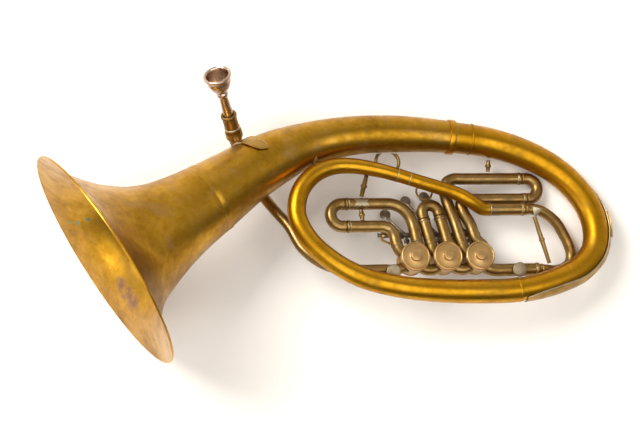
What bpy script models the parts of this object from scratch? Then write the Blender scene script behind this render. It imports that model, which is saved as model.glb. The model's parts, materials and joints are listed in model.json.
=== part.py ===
"""Oval rotary-valve euphonium (tenor horn pattern), lying on its bell rim and its bottom bow.

Everything is laid out in millimetres in the horn's own frame and hangs from one empty:
  u  runs along the valve slides, from the bell towards the bottom bow
  v  runs across the oval, from the valve line towards the bell tube
  w  is square to the oval, towards the valve caps; the finger levers are on the far side
The empty carries the tilt and the roll with which the horn lies on the ground, z = 0.
"""
import math

import bmesh
import bpy
from mathutils import Matrix, Quaternion, Vector

MM = 0.001
GAP = 0.3                       # clearance kept between pieces that touch, mm
SEAM = 0.15                     # half the gap between two butted tubes, mm
SQUARE_END = 0.1                # straight end of a butted tube, in radii
SIDES = 10                      # of a slender tube

# How the horn lies on the ground: bell end up, bell tube side down
TILT_DEG = 9.85
ROLL_DEG = 12.41
FRAME_AT = (-14.2, 1.09, 75.54)   # the horn frame's origin over the ground, mm

# Bell: its middle line (u, v, w), and its outer radius by distance from the mouth
BELL_WALL = 0.7
BELL_LINE = [(-244.0, -52.2, -0.16), (-237.2, -48.0, 0), (-190.5, -22.6, 0), (-130.0, 15.0, 0)]
BELL_PROFILE = [
    (0, 132.5), (4, 118.5), (9, 106.0), (18, 91.0), (30, 78.0), (53, 63.4), (76, 53.8), (100, 47.5)]

# Bows: (u, v, w, outer radius) at the knots of the tapering tube
TUBE_WALL = 0.6
STEM_KNOTS = [
    (-130.0, 15.0, 0, 42.3), (-75.0, 51.0, 0, 34.0), (-43.0, 68.5, 0, 30.5), (-18.0, 79.0, 0, 26.6),
    (42.0, 92.5, 0, 22.6), (102.0, 95.0, 0, 21.2), (164.0, 91.0, 0, 18.7)]
BOTTOM_KNOTS = [
    (164.0, 91.0, 0, 18.7), (208.0, 84.6, 0, 18.0), (243.0, 74.0, 0, 17.4), (276.0, 57.7, 0, 16.6),
    (303.0, 35.0, 0, 16.2), (323.0, 4.4, 0, 16.0), (329.0, -24.0, 0, 16.0), (323.0, -50.0, 0, 15.8),
    (305.0, -69.0, 0, 15.5), (277.0, -82.0, 1, 15.0), (227.0, -94.0, 2, 14.1)]
LEFT_KNOTS = [
    (227.0, -94.0, 2, 14.1), (180.0, -95.6, 3, 13.8), (131.0, -94.0, 4, 13.2), (84.5, -88.6, 5, 12.6),
    (39.0, -76.0, 6, 12.0), (6.0, -56.0, 7, 11.5), (-17.6, -31.5, 8, 11.0), (-28.5, -5.0, 9, 10.7),
    (-23.5, 22.0, 10, 10.5), (-5.0, 43.0, 11, 10.2), (19.0, 52.0, 11, 9.5), (36.5, 52.5, 11, 9.0),
    (65.5, 48.0, 11, 8.4), (90.0, 42.0, 10, 7.9)]
BRANCH_KNOTS = [
    (90.0, 42.0, 10, 7.9), (105.0, 37.6, 9, 7.8), (142.0, 27.0, 6, 8.0), (154.0, 23.7, 4.8, 8.0),
    (166.0, 19.0, 3.6, 8.0), (176.0, 13.8, 2.4, 8.0), (186.0, 8.6, -1.0, 8.0), (193.5, 5.0, -4.2, 7.9),
    (199.0, 4.2, -5.0, 7.7), (202.0, 4.2, -5.0, 7.6)]

# Main tuning slide: its crook draws out of two sleeves
SLEEVE_RADIUS, SLEEVE_BORE, SLIDE_RADIUS = 7.5, 6.75, 6.3
UPPER_V, UPPER_W = 4.2, -5.0
UPPER_SLEEVE = (202.0, 245.0)
CROOK_KNOTS = [
    (246.0, 4.2, -5.0), (265.0, 2.4, -6.0), (275.0, -2.2, -9.0), (286.3, -10.6, -13.5),
    (295.4, -22.5, -19.0), (301.5, -33.2, -23.0), (305.0, -43.6, -25.5), (303.0, -55.0, -26.5),
    (293.5, -62.8, -26.0), (282.5, -65.8, -23.2), (271.0, -66.6, -17.8), (259.5, -66.6, -14.0)]
INNER_LEG_ENDS = (208.0, 222.0)
LOWER_V = -66.6
LOWER_SLEEVE_END = 258.0

# Valves: three casings in a row, with their four ports each
VALVE_W = -14.0                 # the plane of all the valve tubes
VALVE_V = -52.5
VALVE_U = (107.5, 146.0, 184.5)
CASING_RADIUS, CASING_BORE = 15.5, 13.9
CASING_TOP, CASING_FOOT = -1.0, -27.0
ROTOR_RADIUS = 13.4
ROTOR_TOP, ROTOR_FOOT = -4.0, -24.0
PORT_RADIUS = 6.0
PORTS_DEG = (56.0, 144.0, 225.0, 315.0)
CHANNEL_OFFSET, CHANNEL_RADIUS = 17.0, 11.0
CHANNEL_HALF = 6.2
CAP_RADIUS = 17.0
CAP_SKIRT = 4.0
PLATE_RADIUS, PLATE_THICK = 14.8, 2.2
SPINDLE_RADIUS = 3.0
SPINDLE_FOOT = -32.2

# Valve tubes
TUBE_RADIUS, TUBE_BORE = 6.8, 6.25
LEG_RADIUS = 5.9
SLIDE1_UPPER_V, SLIDE1_LOWER_V = 14.8, -12.3
SLIDE1_MOUTH = 33.0
SLIDE2_LEAN_DEG = 101.5
SLIDE2_LEFT, SLIDE2_RIGHT = (125.1, -5.0), (144.6, -1.0)
SLIDE3_UPPER_V, SLIDE3_LOWER_V = 44.3, 19.0
SLIDE3_MOUTHS = (248.0, 252.0)

# Finger levers on one hinge rod, links to the rotors' stop arms
ROD_V, ROD_W, ROD_RADIUS = -20.0, -26.0, 2.0
ROD_ENDS = (73.0, 194.0)
LEVER_TURN_DEG = 24.0
TAIL = 15.0
HUB_RADIUS, HUB_BORE = 3.0, 2.3
HUBS = ((79.0, 116.0), (143.0, 155.0), (178.0, 188.6))
SPRINGS_FROM = (97.0, 135.6, 170.6)
FINGERS = ((87.0, 9.6, -41.0), (113.5, 26.3, -43.0), (136.3, 31.0, -42.0))
FINGER_RADIUS = 6.5
PIN_RADIUS = 1.1
PIN_REST_DEG = -45.0
PIN_ORBIT = TAIL * math.sin(math.radians(LEVER_TURN_DEG / 2)) / math.sin(math.radians(45))
TAIL_V = ROD_V - TAIL * math.sin(math.radians(LEVER_TURN_DEG / 2))
TAIL_W = ROD_W - TAIL * math.cos(math.radians(LEVER_TURN_DEG / 2))
LINK_SHIFT = 3.75               # the link's line along u, from the valve's centre

# Receiver and mouthpiece
MOUTH_AXIS = Vector((-0.31, 0.50, 0.81)).normalized()
RIM_CENTRE = Vector((-119.5, 140.5, 66.0))
RECEIVER_TOP, RECEIVER_FOOT = 58.0, 105.0       # below the rim, along the axis
MOUTHPIECE_LENGTH = 80.0
LEADPIPE_RADIUS = 6.2
LEADPIPE_KNOTS = [
    (-79.5, 74.5, -36.0), (-70.0, 57.0, -43.0), (-58.0, 36.0, -42.0), (-46.0, 16.0, -36.0),
    (-31.0, -6.0, -30.0), (-17.0, -35.0, -25.0), (9.0, -57.0, -19.0), (40.0, -63.0, -15.5),
    (72.8, -63.8, -14.0), (88.0, -64.0, -14.0), (98.0, -61.0, -14.0)]


# ---------------------------------------------------------------- scene

def clear_scene():
    for obj in list(bpy.data.objects):
        bpy.data.objects.remove(obj, do_unlink=True)


def new_collection(name):
    group = bpy.data.collections.new(name)
    bpy.context.scene.collection.children.link(group)
    return group


FINISHES = {                    # colour, roughness
    "bell_brass": ((0.50, 0.33, 0.11), 0.42),
    "bow_brass": ((0.78, 0.47, 0.08), 0.25),
    "valve_brass": ((0.62, 0.43, 0.22), 0.45),
    "slide_brass": ((0.50, 0.34, 0.18), 0.45),
    "nickel": ((0.68, 0.64, 0.55), 0.40),
    "steel": ((0.28, 0.26, 0.24), 0.45),
    "silver": ((0.86, 0.80, 0.74), 0.18),
}


def metal(node, look):
    """Each node has a metal of its own."""
    colour, roughness = FINISHES[look]
    material = bpy.data.materials.new(node + "_" + look)
    material.use_nodes = True
    shader = material.node_tree.nodes["Principled BSDF"]
    shader.inputs["Base Color"].default_value = (*colour, 1.0)
    shader.inputs["Metallic"].default_value = 1.0
    shader.inputs["Roughness"].default_value = roughness
    return material


def new_object(name, data):
    obj = bpy.data.objects.new(name, data)
    bpy.context.scene.collection.objects.link(obj)
    return obj


def keep(obj, look, origin=(0, 0, 0)):
    """Finish a part: its material, shading, collection, parent, and its origin on its joint's axis."""
    obj.data.materials.clear()
    obj.data.materials.append(metal(obj.name, look))
    obj.data.shade_smooth()
    obj.data.set_sharp_from_angle(angle=math.radians(35))
    bpy.context.scene.collection.objects.unlink(obj)
    PARTS.objects.link(obj)
    shift = Vector(origin) * MM
    obj.data.transform(Matrix.Translation(-shift))
    obj.location = shift
    obj.parent = HORN
    return obj


def freeze(obj):
    """Turn an object's modifiers into plain mesh."""
    graph = bpy.context.evaluated_depsgraph_get()
    mesh = bpy.data.meshes.new_from_object(obj.evaluated_get(graph))
    obj.modifiers.clear()
    obj.data = mesh
    return obj


def combine(first, others, operation):
    """Join or cut the first solid with the others, which are used up."""
    for other in others:
        modifier = first.modifiers.new("boolean", "BOOLEAN")
        modifier.operation = operation
        modifier.object = other
        freeze(first)
        bpy.data.objects.remove(other, do_unlink=True)
    return first


def joined(name, pieces):
    obj = combine(pieces[0], pieces[1:], "UNION")
    obj.name = name
    return obj


def cut(obj, *cutters):
    return combine(obj, cutters, "DIFFERENCE")


# ---------------------------------------------------------------- routes

def flow(knots, step, first=0, last=None, seam=0.0):
    """A smooth route through knots, such as (u, v, w) or (u, v, w, radius), a point about every step mm.

    It can run from one knot to another only. With a seam, an end that meets another tube is cut square,
    that far short of its knot.
    """
    last = len(knots) - 1 if last is None else last
    spans = [math.dist(a[:3], b[:3]) for a, b in zip(knots, knots[1:])]
    chords = [[(q - p) / span for p, q in zip(a, b)] for a, b, span in zip(knots, knots[1:], spans)]
    slopes = [chords[0]]
    for i in range(1, len(knots) - 1):
        share = spans[i - 1] / (spans[i - 1] + spans[i])
        slopes.append([p * (1 - share) + q * share for p, q in zip(chords[i - 1], chords[i])])
    slopes.append(chords[-1])
    route = [tuple(knots[first])]
    for i in range(first, last):
        span = spans[i]
        count = max(1, round(span / step))
        for k in range(1, count + 1):
            t = k / count
            stay, leave = 2 * t ** 3 - 3 * t ** 2 + 1, (t ** 3 - 2 * t ** 2 + t) * span
            arrive, come = 3 * t ** 2 - 2 * t ** 3, (t ** 3 - t ** 2) * span
            ends = zip(knots[i], slopes[i], knots[i + 1], slopes[i + 1])
            route.append(tuple(stay * p + leave * m + arrive * q + come * n for p, m, q, n in ends))
    if seam and first > 0:
        straight = SQUARE_END * knots[first][3]
        route[:1] = [moved(knots[first], slopes[first], seam + extra) for extra in (0.0, straight)]
    if seam:
        straight = SQUARE_END * knots[last][3]
        route[-1:] = [moved(knots[last], slopes[last], -seam - extra) for extra in (straight, 0.0)]
    return route


def moved(knot, slope, distance):
    return tuple(p + m * distance for p, m in zip(knot, slope))


def u_turn(start, end, direction, steps=5):
    """Half a circle from start to end, bulging along direction."""
    start, end, direction = Vector(start), Vector(end), Vector(direction).normalized()
    middle, half = (start + end) / 2, (start - end) / 2
    return [tuple(middle + half * math.cos(math.pi * k / steps)
                  + direction * half.length * math.sin(math.pi * k / steps)) for k in range(steps + 1)]


def sized(route, radius):
    return [(*point[:3], radius) for point in route]


def station(route, distance):
    """Place, direction and radius of a tube at a distance along its route."""
    for a, b in zip(route, route[1:]):
        span = math.dist(a[:3], b[:3])
        if distance <= span or b is route[-1]:
            share = distance / span
            place = Vector(a[:3]).lerp(Vector(b[:3]), share)
            radius = a[-1] + (b[-1] - a[-1]) * share
            return place, (Vector(b[:3]) - Vector(a[:3])).normalized(), radius
        distance -= span


def on_tube(route, distance, angle, lift):
    """A point over a tube's surface; the angle in radians goes from +w towards the outside of the oval."""
    place, along, radius = station(route, distance)
    front = (Vector((0, 0, 1)) - along * along.z).normalized()
    outward = front.cross(along)
    return place + (front * math.cos(angle) + outward * math.sin(angle)) * (radius + lift)


def horn_section(number, step):
    """One piece of the horn's own tube, from the bell (0) to the valve branch (4)."""
    line = flow(BELL_LINE, 2)
    bell = [(*station(line, distance)[0], radius) for distance, radius in BELL_PROFILE] + STEM_KNOTS[:1]
    sections = [bell, STEM_KNOTS, BOTTOM_KNOTS, LEFT_KNOTS, BRANCH_KNOTS]
    knots = bell + [knot for section in sections[1:] for knot in section[1:]]
    first = sum(len(section) - 1 for section in sections[:number])
    return flow(knots, step, first, first + len(sections[number]) - 1, SEAM)


# ---------------------------------------------------------------- solids

def swept(name, route, sides, capped):
    """A round bevel along a POLY curve, turned into a mesh."""
    curve = bpy.data.curves.new(name, "CURVE")
    curve.dimensions = "3D"
    curve.bevel_depth = MM
    curve.bevel_resolution = (sides - 4) // 2
    curve.use_fill_caps = capped
    spline = curve.splines.new("POLY")
    spline.points.add(len(route) - 1)
    for point, (u, v, w, radius) in zip(spline.points, route):
        point.co = (u * MM, v * MM, w * MM, 1.0)
        point.radius = radius
    guide = new_object(name, curve)
    graph = bpy.context.evaluated_depsgraph_get()
    mesh = bpy.data.meshes.new_from_object(guide.evaluated_get(graph))
    bpy.data.objects.remove(guide, do_unlink=True)
    work = bmesh.new()
    work.from_mesh(mesh)
    bmesh.ops.remove_doubles(work, verts=work.verts, dist=1e-6)
    if capped:
        bmesh.ops.recalc_face_normals(work, faces=work.faces)
    work.to_mesh(mesh)
    work.free()
    return new_object(name, mesh)


def tube(name, route, wall, sides):
    """A hollow tube: its outer surface, with a Solidify that grows inwards."""
    obj = swept(name, route, sides, capped=False)
    sheet = obj.modifiers.new("wall", "SOLIDIFY")
    sheet.thickness = wall * MM
    sheet.offset = -1.0
    return freeze(obj)


def turned(name, profile, at, axis, steps):
    """A turned piece from (radius, height) points, which run down its outer side."""
    ring = all(radius > 0 for radius, _ in profile)
    edges = [(i, i + 1) for i in range(len(profile) - 1)]
    if ring:
        edges.append((len(profile) - 1, 0))
    mesh = bpy.data.meshes.new(name)
    mesh.from_pydata([(radius * MM, 0, height * MM) for radius, height in profile], edges, [])
    obj = new_object(name, mesh)
    screw = obj.modifiers.new("turn", "SCREW")
    screw.steps = steps
    screw.render_steps = steps
    screw.use_merge_vertices = True
    screw.merge_threshold = 1e-5
    freeze(obj)
    turn = Vector(axis).to_track_quat("Z", "Y").to_matrix().to_4x4()
    obj.data.transform(Matrix.Translation(Vector(at) * MM) @ turn)
    return obj


def cylinder(name, radius, start, end, steps=16):
    start, axis = Vector(start), Vector(end) - Vector(start)
    return turned(name, [(0, axis.length), (radius, axis.length), (radius, 0), (0, 0)], start, axis, steps)


def collar(name, outer, bore, start, end, steps=16):
    """A short thick tube round a straight stretch."""
    start, axis = Vector(start), Vector(end) - Vector(start)
    profile = [(outer, axis.length), (outer, 0), (bore, 0), (bore, axis.length)]
    return turned(name, profile, start, axis, steps)


def plate(name, outline, thickness, at, across, up):
    """A flat plate: an outline in mm in the plane of across and up, grown both ways from it."""
    curve = bpy.data.curves.new(name, "CURVE")
    curve.dimensions = "2D"
    curve.fill_mode = "BOTH"
    curve.extrude = thickness / 2 * MM
    spline = curve.splines.new("POLY")
    spline.points.add(len(outline) - 1)
    for point, (x, y) in zip(spline.points, outline):
        point.co = (x * MM, y * MM, 0, 1)
    spline.use_cyclic_u = True
    guide = new_object(name, curve)
    graph = bpy.context.evaluated_depsgraph_get()
    mesh = bpy.data.meshes.new_from_object(guide.evaluated_get(graph))
    bpy.data.objects.remove(guide, do_unlink=True)
    across, up = Vector(across).normalized(), Vector(up).normalized()
    turn = Matrix((across, up, across.cross(up))).transposed().to_4x4()
    mesh.transform(Matrix.Translation(Vector(at) * MM) @ turn)
    work = bmesh.new()
    work.from_mesh(mesh)
    bmesh.ops.remove_doubles(work, verts=work.verts, dist=1e-6)
    bmesh.ops.recalc_face_normals(work, faces=work.faces)
    work.to_mesh(mesh)
    work.free()
    return new_object(name, mesh)


def saddle(name, route, path, sheet, lift=GAP, rows=12, columns=4):
    """Sheet metal bent over a tube. The path gives (distance along, angle from +w, half width) knots."""
    stretched = [(distance, math.radians(angle) * 15, 0, half) for distance, angle, half in path]
    line = flow(stretched, sum(math.dist(a[:3], b[:3]) for a, b in zip(stretched, stretched[1:])) / rows)
    grid = []
    for i, (distance, bend, _, half) in enumerate(line):
        before, after = line[max(i - 1, 0)], line[min(i + 1, len(line) - 1)]
        course = Vector((after[0] - before[0], after[1] - before[1])).normalized()
        row = []
        for k in range(columns + 1):
            offset = half * (2 * k / columns - 1)
            row.append(on_tube(route, distance - course.y * offset, (bend + course.x * offset) / 15, lift))
        grid.append(row)
    work = bmesh.new()
    rows_made = [[work.verts.new(point * MM) for point in row] for row in grid]
    for near, far in zip(rows_made, rows_made[1:]):
        for k in range(columns):
            work.faces.new((near[k], far[k], far[k + 1], near[k + 1]))
    mesh = bpy.data.meshes.new(name)
    work.to_mesh(mesh)
    work.free()
    obj = new_object(name, mesh)
    solid = obj.modifiers.new("sheet", "SOLIDIFY")
    solid.thickness = sheet * MM
    solid.offset = 1.0
    return freeze(obj)


def strut(name, start, end, radius, steps=8):
    """A turned rod: a foot at each end, a slow swell, and a bead in the middle."""
    start, axis = Vector(start), Vector(end) - Vector(start)
    length, middle = axis.length, axis.length / 2
    profile = [
        (0, length), (radius * 1.5, length), (radius * 0.8, length - 1.2), (radius, middle + 1.6),
        (radius * 1.35, middle + 0.6), (radius * 1.35, middle - 0.6), (radius, middle - 1.6),
        (radius * 0.8, 1.2), (radius * 1.5, 0), (0, 0)]
    return turned(name, profile, start, axis, steps)


def ring(name, centre, radius, wire, steps=16, sides=6, deep=1.0):
    """A closed ring square to w, its section stretched deep times along w."""
    angles = [math.tau * k / sides for k in range(sides)]
    profile = [(radius + wire * math.cos(a), -wire * deep * math.sin(a)) for a in angles]
    return turned(name, profile, centre, (0, 0, 1), steps)


# ---------------------------------------------------------------- bell and bows

def build_bell():
    keep(tube("bell_flare", horn_section(0, 18), BELL_WALL, 24), "bell_brass")
    keep(tube("bell_stem", horn_section(1, 30), BELL_WALL, 16), "bell_brass")
    end, along = Vector(STEM_KNOTS[-1][:3]), Vector((0.997, -0.07, 0))
    bore = STEM_KNOTS[-1][3] + GAP + 0.6
    keep(collar("bell_bow_ferrule", bore + 0.8, bore, end - along * 6, end + along * 1.2, 16), "nickel")


def build_bows():
    keep(tube("bottom_bow", horn_section(2, 22), TUBE_WALL, 12), "bow_brass")
    keep(tube("left_bow", horn_section(3, 22), TUBE_WALL, SIDES), "bow_brass")
    keep(tube("valve_branch", horn_section(4, 14), TUBE_WALL, SIDES), "bow_brass")


def build_bow_guard():
    """A strip of sheet round the outside of the bottom bow, pointed at both ends."""
    route = horn_section(2, 22)
    length = sum(math.dist(a[:3], b[:3]) for a, b in zip(route, route[1:]))
    path = [(172, 96, 0.6), (190, 92, 7), (225, 86, 11), (270, 84, 11),
            (length - 12, 84, 9), (length - 4, 84, 7)]
    keep(saddle("bow_guard", route, path, 0.7, lift=2.1, rows=24, columns=3), "nickel")


# ---------------------------------------------------------------- main tuning slide

def build_tuning_slide():
    low, high = UPPER_SLEEVE
    sleeve = collar("tuning_sleeve_upper", SLEEVE_RADIUS, SLEEVE_BORE, (low + SEAM, UPPER_V, UPPER_W),
                    (high, UPPER_V, UPPER_W), 12)
    keep(sleeve, "slide_brass")
    leg, back = INNER_LEG_ENDS
    route = [(leg, UPPER_V, UPPER_W)] + flow(CROOK_KNOTS, 14) + [(back, LOWER_V, VALVE_W)]
    origin = (255.0, -30.0, -10.0)
    keep(tube("tuning_slide", sized(route, SLIDE_RADIUS), TUBE_WALL, 12), "slide_brass", origin)
    brace = strut("tuning_slide_brace", (257.4, -4.4, -6.8), (273.4, -58.7, -17.0), 1.6)
    keep(brace, "slide_brass", origin)
    lower = flow([(191.5, -60.0, VALVE_W), (197.0, -64.0, VALVE_W), (205.0, -66.4, VALVE_W),
                  (212.0, LOWER_V, VALVE_W)], 5)
    route = sized(lower + [(LOWER_SLEEVE_END, LOWER_V, VALVE_W)], SLEEVE_RADIUS - 0.1)
    obj = tube("tuning_sleeve_lower", route, SLEEVE_RADIUS - 0.1 - SLEEVE_BORE, 12)
    keep(cut(obj, casing_clearance(2)), "slide_brass")


# ---------------------------------------------------------------- valves

def valve_centre(valve, w=VALVE_W):
    return Vector((VALVE_U[valve], VALVE_V, w))


def heading(angle_deg):
    return Vector((math.cos(math.radians(angle_deg)), math.sin(math.radians(angle_deg)), 0))


def casing_clearance(valve):
    """What a tube is cut back by, so that it ends just short of the casing."""
    radius = CASING_RADIUS + GAP + 0.2
    return cylinder("clearance", radius, valve_centre(valve, -40), valve_centre(valve, 12), 20)


def build_valve(valve):
    number = "_%d" % (valve + 1)
    casing = collar("valve_casing" + number, CASING_RADIUS, CASING_BORE, valve_centre(valve, CASING_FOOT),
                    valve_centre(valve, CASING_TOP), 18)
    centre = valve_centre(valve)
    ports = [cylinder("port", PORT_RADIUS, centre + heading(angle) * 8, centre + heading(angle) * 20, 8)
             for angle in PORTS_DEG]
    keep(cut(casing, *ports), "valve_brass")

    rotor = turned("rotor" + number, [
        (0, ROTOR_TOP), (ROTOR_RADIUS, ROTOR_TOP), (ROTOR_RADIUS, ROTOR_FOOT), (SPINDLE_RADIUS, ROTOR_FOOT),
        (SPINDLE_RADIUS, SPINDLE_FOOT), (0, SPINDLE_FOOT)], valve_centre(valve, 0), (0, 0, 1), 20)
    sides = [centre + Vector((0, CHANNEL_OFFSET * side, 0)) for side in (-1, 1)]
    half = Vector((0, 0, CHANNEL_HALF))
    bites = [cylinder("bite", CHANNEL_RADIUS, at - half, at + half, 12) for at in sides]
    keep(cut(rotor, *bites), "valve_brass", centre)

    under, top = CASING_TOP + GAP, CASING_TOP + 3.0
    skirt = under - CAP_SKIRT
    cap = turned("valve_cap" + number, [
        (0, top + 3.0), (4.0, top + 2.6), (6.0, top), (CAP_RADIUS - 0.5, top), (CAP_RADIUS, top - 0.5),
        (CAP_RADIUS, skirt), (CASING_RADIUS + GAP, skirt), (CASING_RADIUS + GAP, under), (0, under)],
        valve_centre(valve, 0), (0, 0, 1), 18)
    keep(cap, "valve_brass")
    build_bearing_plate(valve)
    build_stop_arm(valve)


def build_bearing_plate(valve):
    """The back plate that the spindle turns in, with the two corks that stop the arm."""
    high, low = CASING_FOOT - GAP, CASING_FOOT - GAP - PLATE_THICK
    back = turned("back", [(PLATE_RADIUS, high), (PLATE_RADIUS, low), (SPINDLE_RADIUS + GAP, low),
                           (SPINDLE_RADIUS + GAP, high)], valve_centre(valve, 0), (0, 0, 1), 20)
    corks = [cylinder("cork", 1.8, valve_centre(valve, low - 5.2) + heading(angle) * 9.2,
                      valve_centre(valve, low + 0.8) + heading(angle) * 9.2, 8) for angle in (110, 250)]
    keep(joined("bearing_plate_%d" % (valve + 1), [back] + corks), "valve_brass")


def build_stop_arm(valve):
    """A keyhole plate on the spindle: the link's pin at one end, the tongue that meets the corks."""
    high = SPINDLE_FOOT - GAP
    thick = 2.6
    across, up = heading(PIN_REST_DEG - 90), heading(PIN_REST_DEG)
    middle = valve_centre(valve, high - thick / 2)
    hub = cylinder("hub", 4.6, valve_centre(valve, high - thick), valve_centre(valve, high), 16)
    half = 1.4
    outline = [(-half, -10.0), (half, -10.0), (half, 0), (-half, 0)]
    tongue = plate("tongue", outline, thick - 0.3, middle, across, up)
    lobe = cylinder("lobe", 2.4, middle + up * PIN_ORBIT - Vector((0, 0, thick / 2 - 0.2)),
                    middle + up * PIN_ORBIT + Vector((0, 0, thick / 2 - 0.2)), 10)
    pin_at = valve_centre(valve, 0) + up * PIN_ORBIT
    pin = cylinder("pin", PIN_RADIUS, pin_at + Vector((0, 0, TAIL_W - 2.0)),
                   pin_at + Vector((0, 0, high - 0.9)), 8)
    arm = joined("stop_arm_%d" % (valve + 1), [hub, tongue, lobe, pin])
    keep(arm, "steel", valve_centre(valve, high))


def build_knuckle(valve):
    """The short bent tube between the lower ports of two neighbouring valves."""
    left, right = VALVE_U[valve], VALVE_U[valve + 1]
    route = flow([(left + 8, -60.5, VALVE_W), (left + 13, -64.0, VALVE_W), (right - 13, -64.0, VALVE_W),
                  (right - 8, -60.5, VALVE_W)], 5)
    obj = tube("knuckle_%d_%d" % (valve + 1, valve + 2), sized(route, 6.5), TUBE_WALL, SIDES)
    keep(cut(obj, casing_clearance(valve), casing_clearance(valve + 1)), "slide_brass")


# ---------------------------------------------------------------- valve slides

def flat(points):
    return [(u, v, VALVE_W) for u, v in points]


def valve_tube(name, knots, mouth, valve):
    """An outer tube: bent from the casing's port, then straight to the mouth."""
    route = sized(flow(flat(knots), 11) + flat([mouth]), TUBE_RADIUS)
    obj = tube(name, route, TUBE_RADIUS - TUBE_BORE, SIDES)
    keep(cut(obj, casing_clearance(valve)), "slide_brass")


def valve_slide(name, starts, mouths, along, ends):
    """A crook as wide as the outer tubes, with a leg into each of them. The ends are where the U begins."""
    along = Vector((*along, 0)).normalized()
    turn = u_turn(*flat(ends), along)
    first, last = [Vector(point) for point in flat(mouths)]
    bow = sized([first + along * (GAP + 0.8)] + turn + [last + along * (GAP + 0.8)], TUBE_RADIUS)
    legs = [sized([Vector(inner), mouth + along * GAP], LEG_RADIUS)
            for inner, mouth in zip(flat(starts), (first, last))]
    route = legs[0] + bow + legs[1][::-1]
    origin = (Vector(ends[0]) + Vector(ends[1])) / 2
    return keep(tube(name, route, 0.5, SIDES), "slide_brass", (*origin, VALVE_W))


def port_knots(valve, angle, reach=(10.0, 16.5)):
    """Where a tube leaves a port: two knots along the port's own direction."""
    points = [valve_centre(valve) + heading(angle) * distance for distance in reach]
    return [(point.x, point.y) for point in points]


def build_slide_1():
    upper, lower, mouth = SLIDE1_UPPER_V, SLIDE1_LOWER_V, SLIDE1_MOUTH
    valve_tube("slide_1_tube_upper", port_knots(0, PORTS_DEG[0]) + [
        (114.6, -30.0), (112.6, -16.0), (108.6, -2.0), (100.5, 8.6), (90.0, 13.8), (79.4, upper)],
        (mouth, upper), 0)
    valve_tube("slide_1_tube_lower", port_knots(0, PORTS_DEG[1]) + [
        (90.2, -34.0), (88.0, -22.5), (83.4, -15.3), (76.0, lower)], (mouth, lower), 0)
    radius = (upper - lower) / 2
    valve_slide("valve_slide_1", [(72.0, upper), (72.0, lower)], [(mouth, upper), (mouth, lower)], (-1, 0),
                [(15.4 + radius, upper), (15.4 + radius, lower)])


def build_slide_2():
    along = heading(SLIDE2_LEAN_DEG).xy
    left, right = Vector(SLIDE2_LEFT), Vector(SLIDE2_RIGHT)
    across = (right - left) - along * (right - left).dot(along)
    valve_tube("slide_2_tube_left", port_knots(1, PORTS_DEG[1]) + [
        tuple(left - along * 34), tuple(left - along * 27)], tuple(left), 1)
    valve_tube("slide_2_tube_right", port_knots(1, PORTS_DEG[0]) + [
        tuple(left + across - along * 33), tuple(left + across - along * 24)], tuple(left + across), 1)
    ends = [left + along * 5.6, left + along * 5.6 + across]
    insides = [left - along * 24, left + across - along * 22]
    valve_slide("valve_slide_2", insides, [left, left + across], along, ends)


def build_slide_3():
    upper, lower = SLIDE3_UPPER_V, SLIDE3_LOWER_V
    upper_mouth, lower_mouth = SLIDE3_MOUTHS
    valve_tube("slide_3_tube_upper", port_knots(2, PORTS_DEG[1]) + [
        (168.0, -33.0), (161.6, -6.0), (155.6, 15.0), (153.6, 29.0), (157.0, 40.0),
        (166.0, upper), (176.0, upper)],
        (upper_mouth, upper), 2)
    valve_tube("slide_3_tube_lower", port_knots(2, PORTS_DEG[0]) + [
        (186.8, -31.0), (180.6, -11.5), (172.8, 6.0), (171.6, 13.5), (176.8, 18.4), (187.0, lower)],
        (lower_mouth, lower), 2)
    radius = (upper - lower) / 2
    mouths = [(upper_mouth, upper), (lower_mouth, lower)]
    valve_slide("valve_slide_3", [(214.0, upper), (214.0, lower)], mouths, (1, 0),
                [(267.5 - radius, upper), (267.5 - radius, lower)])


# ---------------------------------------------------------------- leadpipe and mouthpiece

def below_rim(distance):
    return RIM_CENTRE - MOUTH_AXIS * distance


def build_leadpipe():
    start = [tuple(below_rim(RECEIVER_FOOT + GAP)), tuple(below_rim(RECEIVER_FOOT + 8))]
    obj = tube("leadpipe", sized(flow(start + LEADPIPE_KNOTS, 22), LEADPIPE_RADIUS), TUBE_WALL, SIDES)
    keep(cut(obj, casing_clearance(0)), "slide_brass")


def build_receiver():
    """A tapering socket for the mouthpiece, open through into the leadpipe."""
    profile = [
        (8.3, -RECEIVER_TOP), (8.3, -RECEIVER_TOP - 22), (7.2, -RECEIVER_FOOT), (5.0, -RECEIVER_FOOT),
        (5.2, -RECEIVER_TOP - 24), (6.6, -RECEIVER_TOP)]
    keep(turned("mouthpiece_receiver", profile, RIM_CENTRE, MOUTH_AXIS, 14), "slide_brass")


def build_mouthpiece():
    """Rim, cup, throat and shank, turned in one piece and pushed into the receiver."""
    foot = -MOUTHPIECE_LENGTH
    profile = [
        (14.2, 0), (15.6, -1.2), (16.0, -3.0), (15.2, -5.6), (13.2, -7.0), (13.4, -12.0), (12.4, -17.0),
        (8.2, -22.5), (5.4, -24.5), (6.6, -27.0), (6.4, -30.0), (5.6, -34.0), (6.0, -RECEIVER_TOP),
        (4.8, foot), (3.6, foot), (2.3, -27.0), (2.4, -23.0), (8.0, -17.0), (11.2, -9.0), (12.6, -1.4)]
    keep(turned("mouthpiece", profile, RIM_CENTRE, MOUTH_AXIS, 14), "silver", below_rim(MOUTHPIECE_LENGTH))


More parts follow.
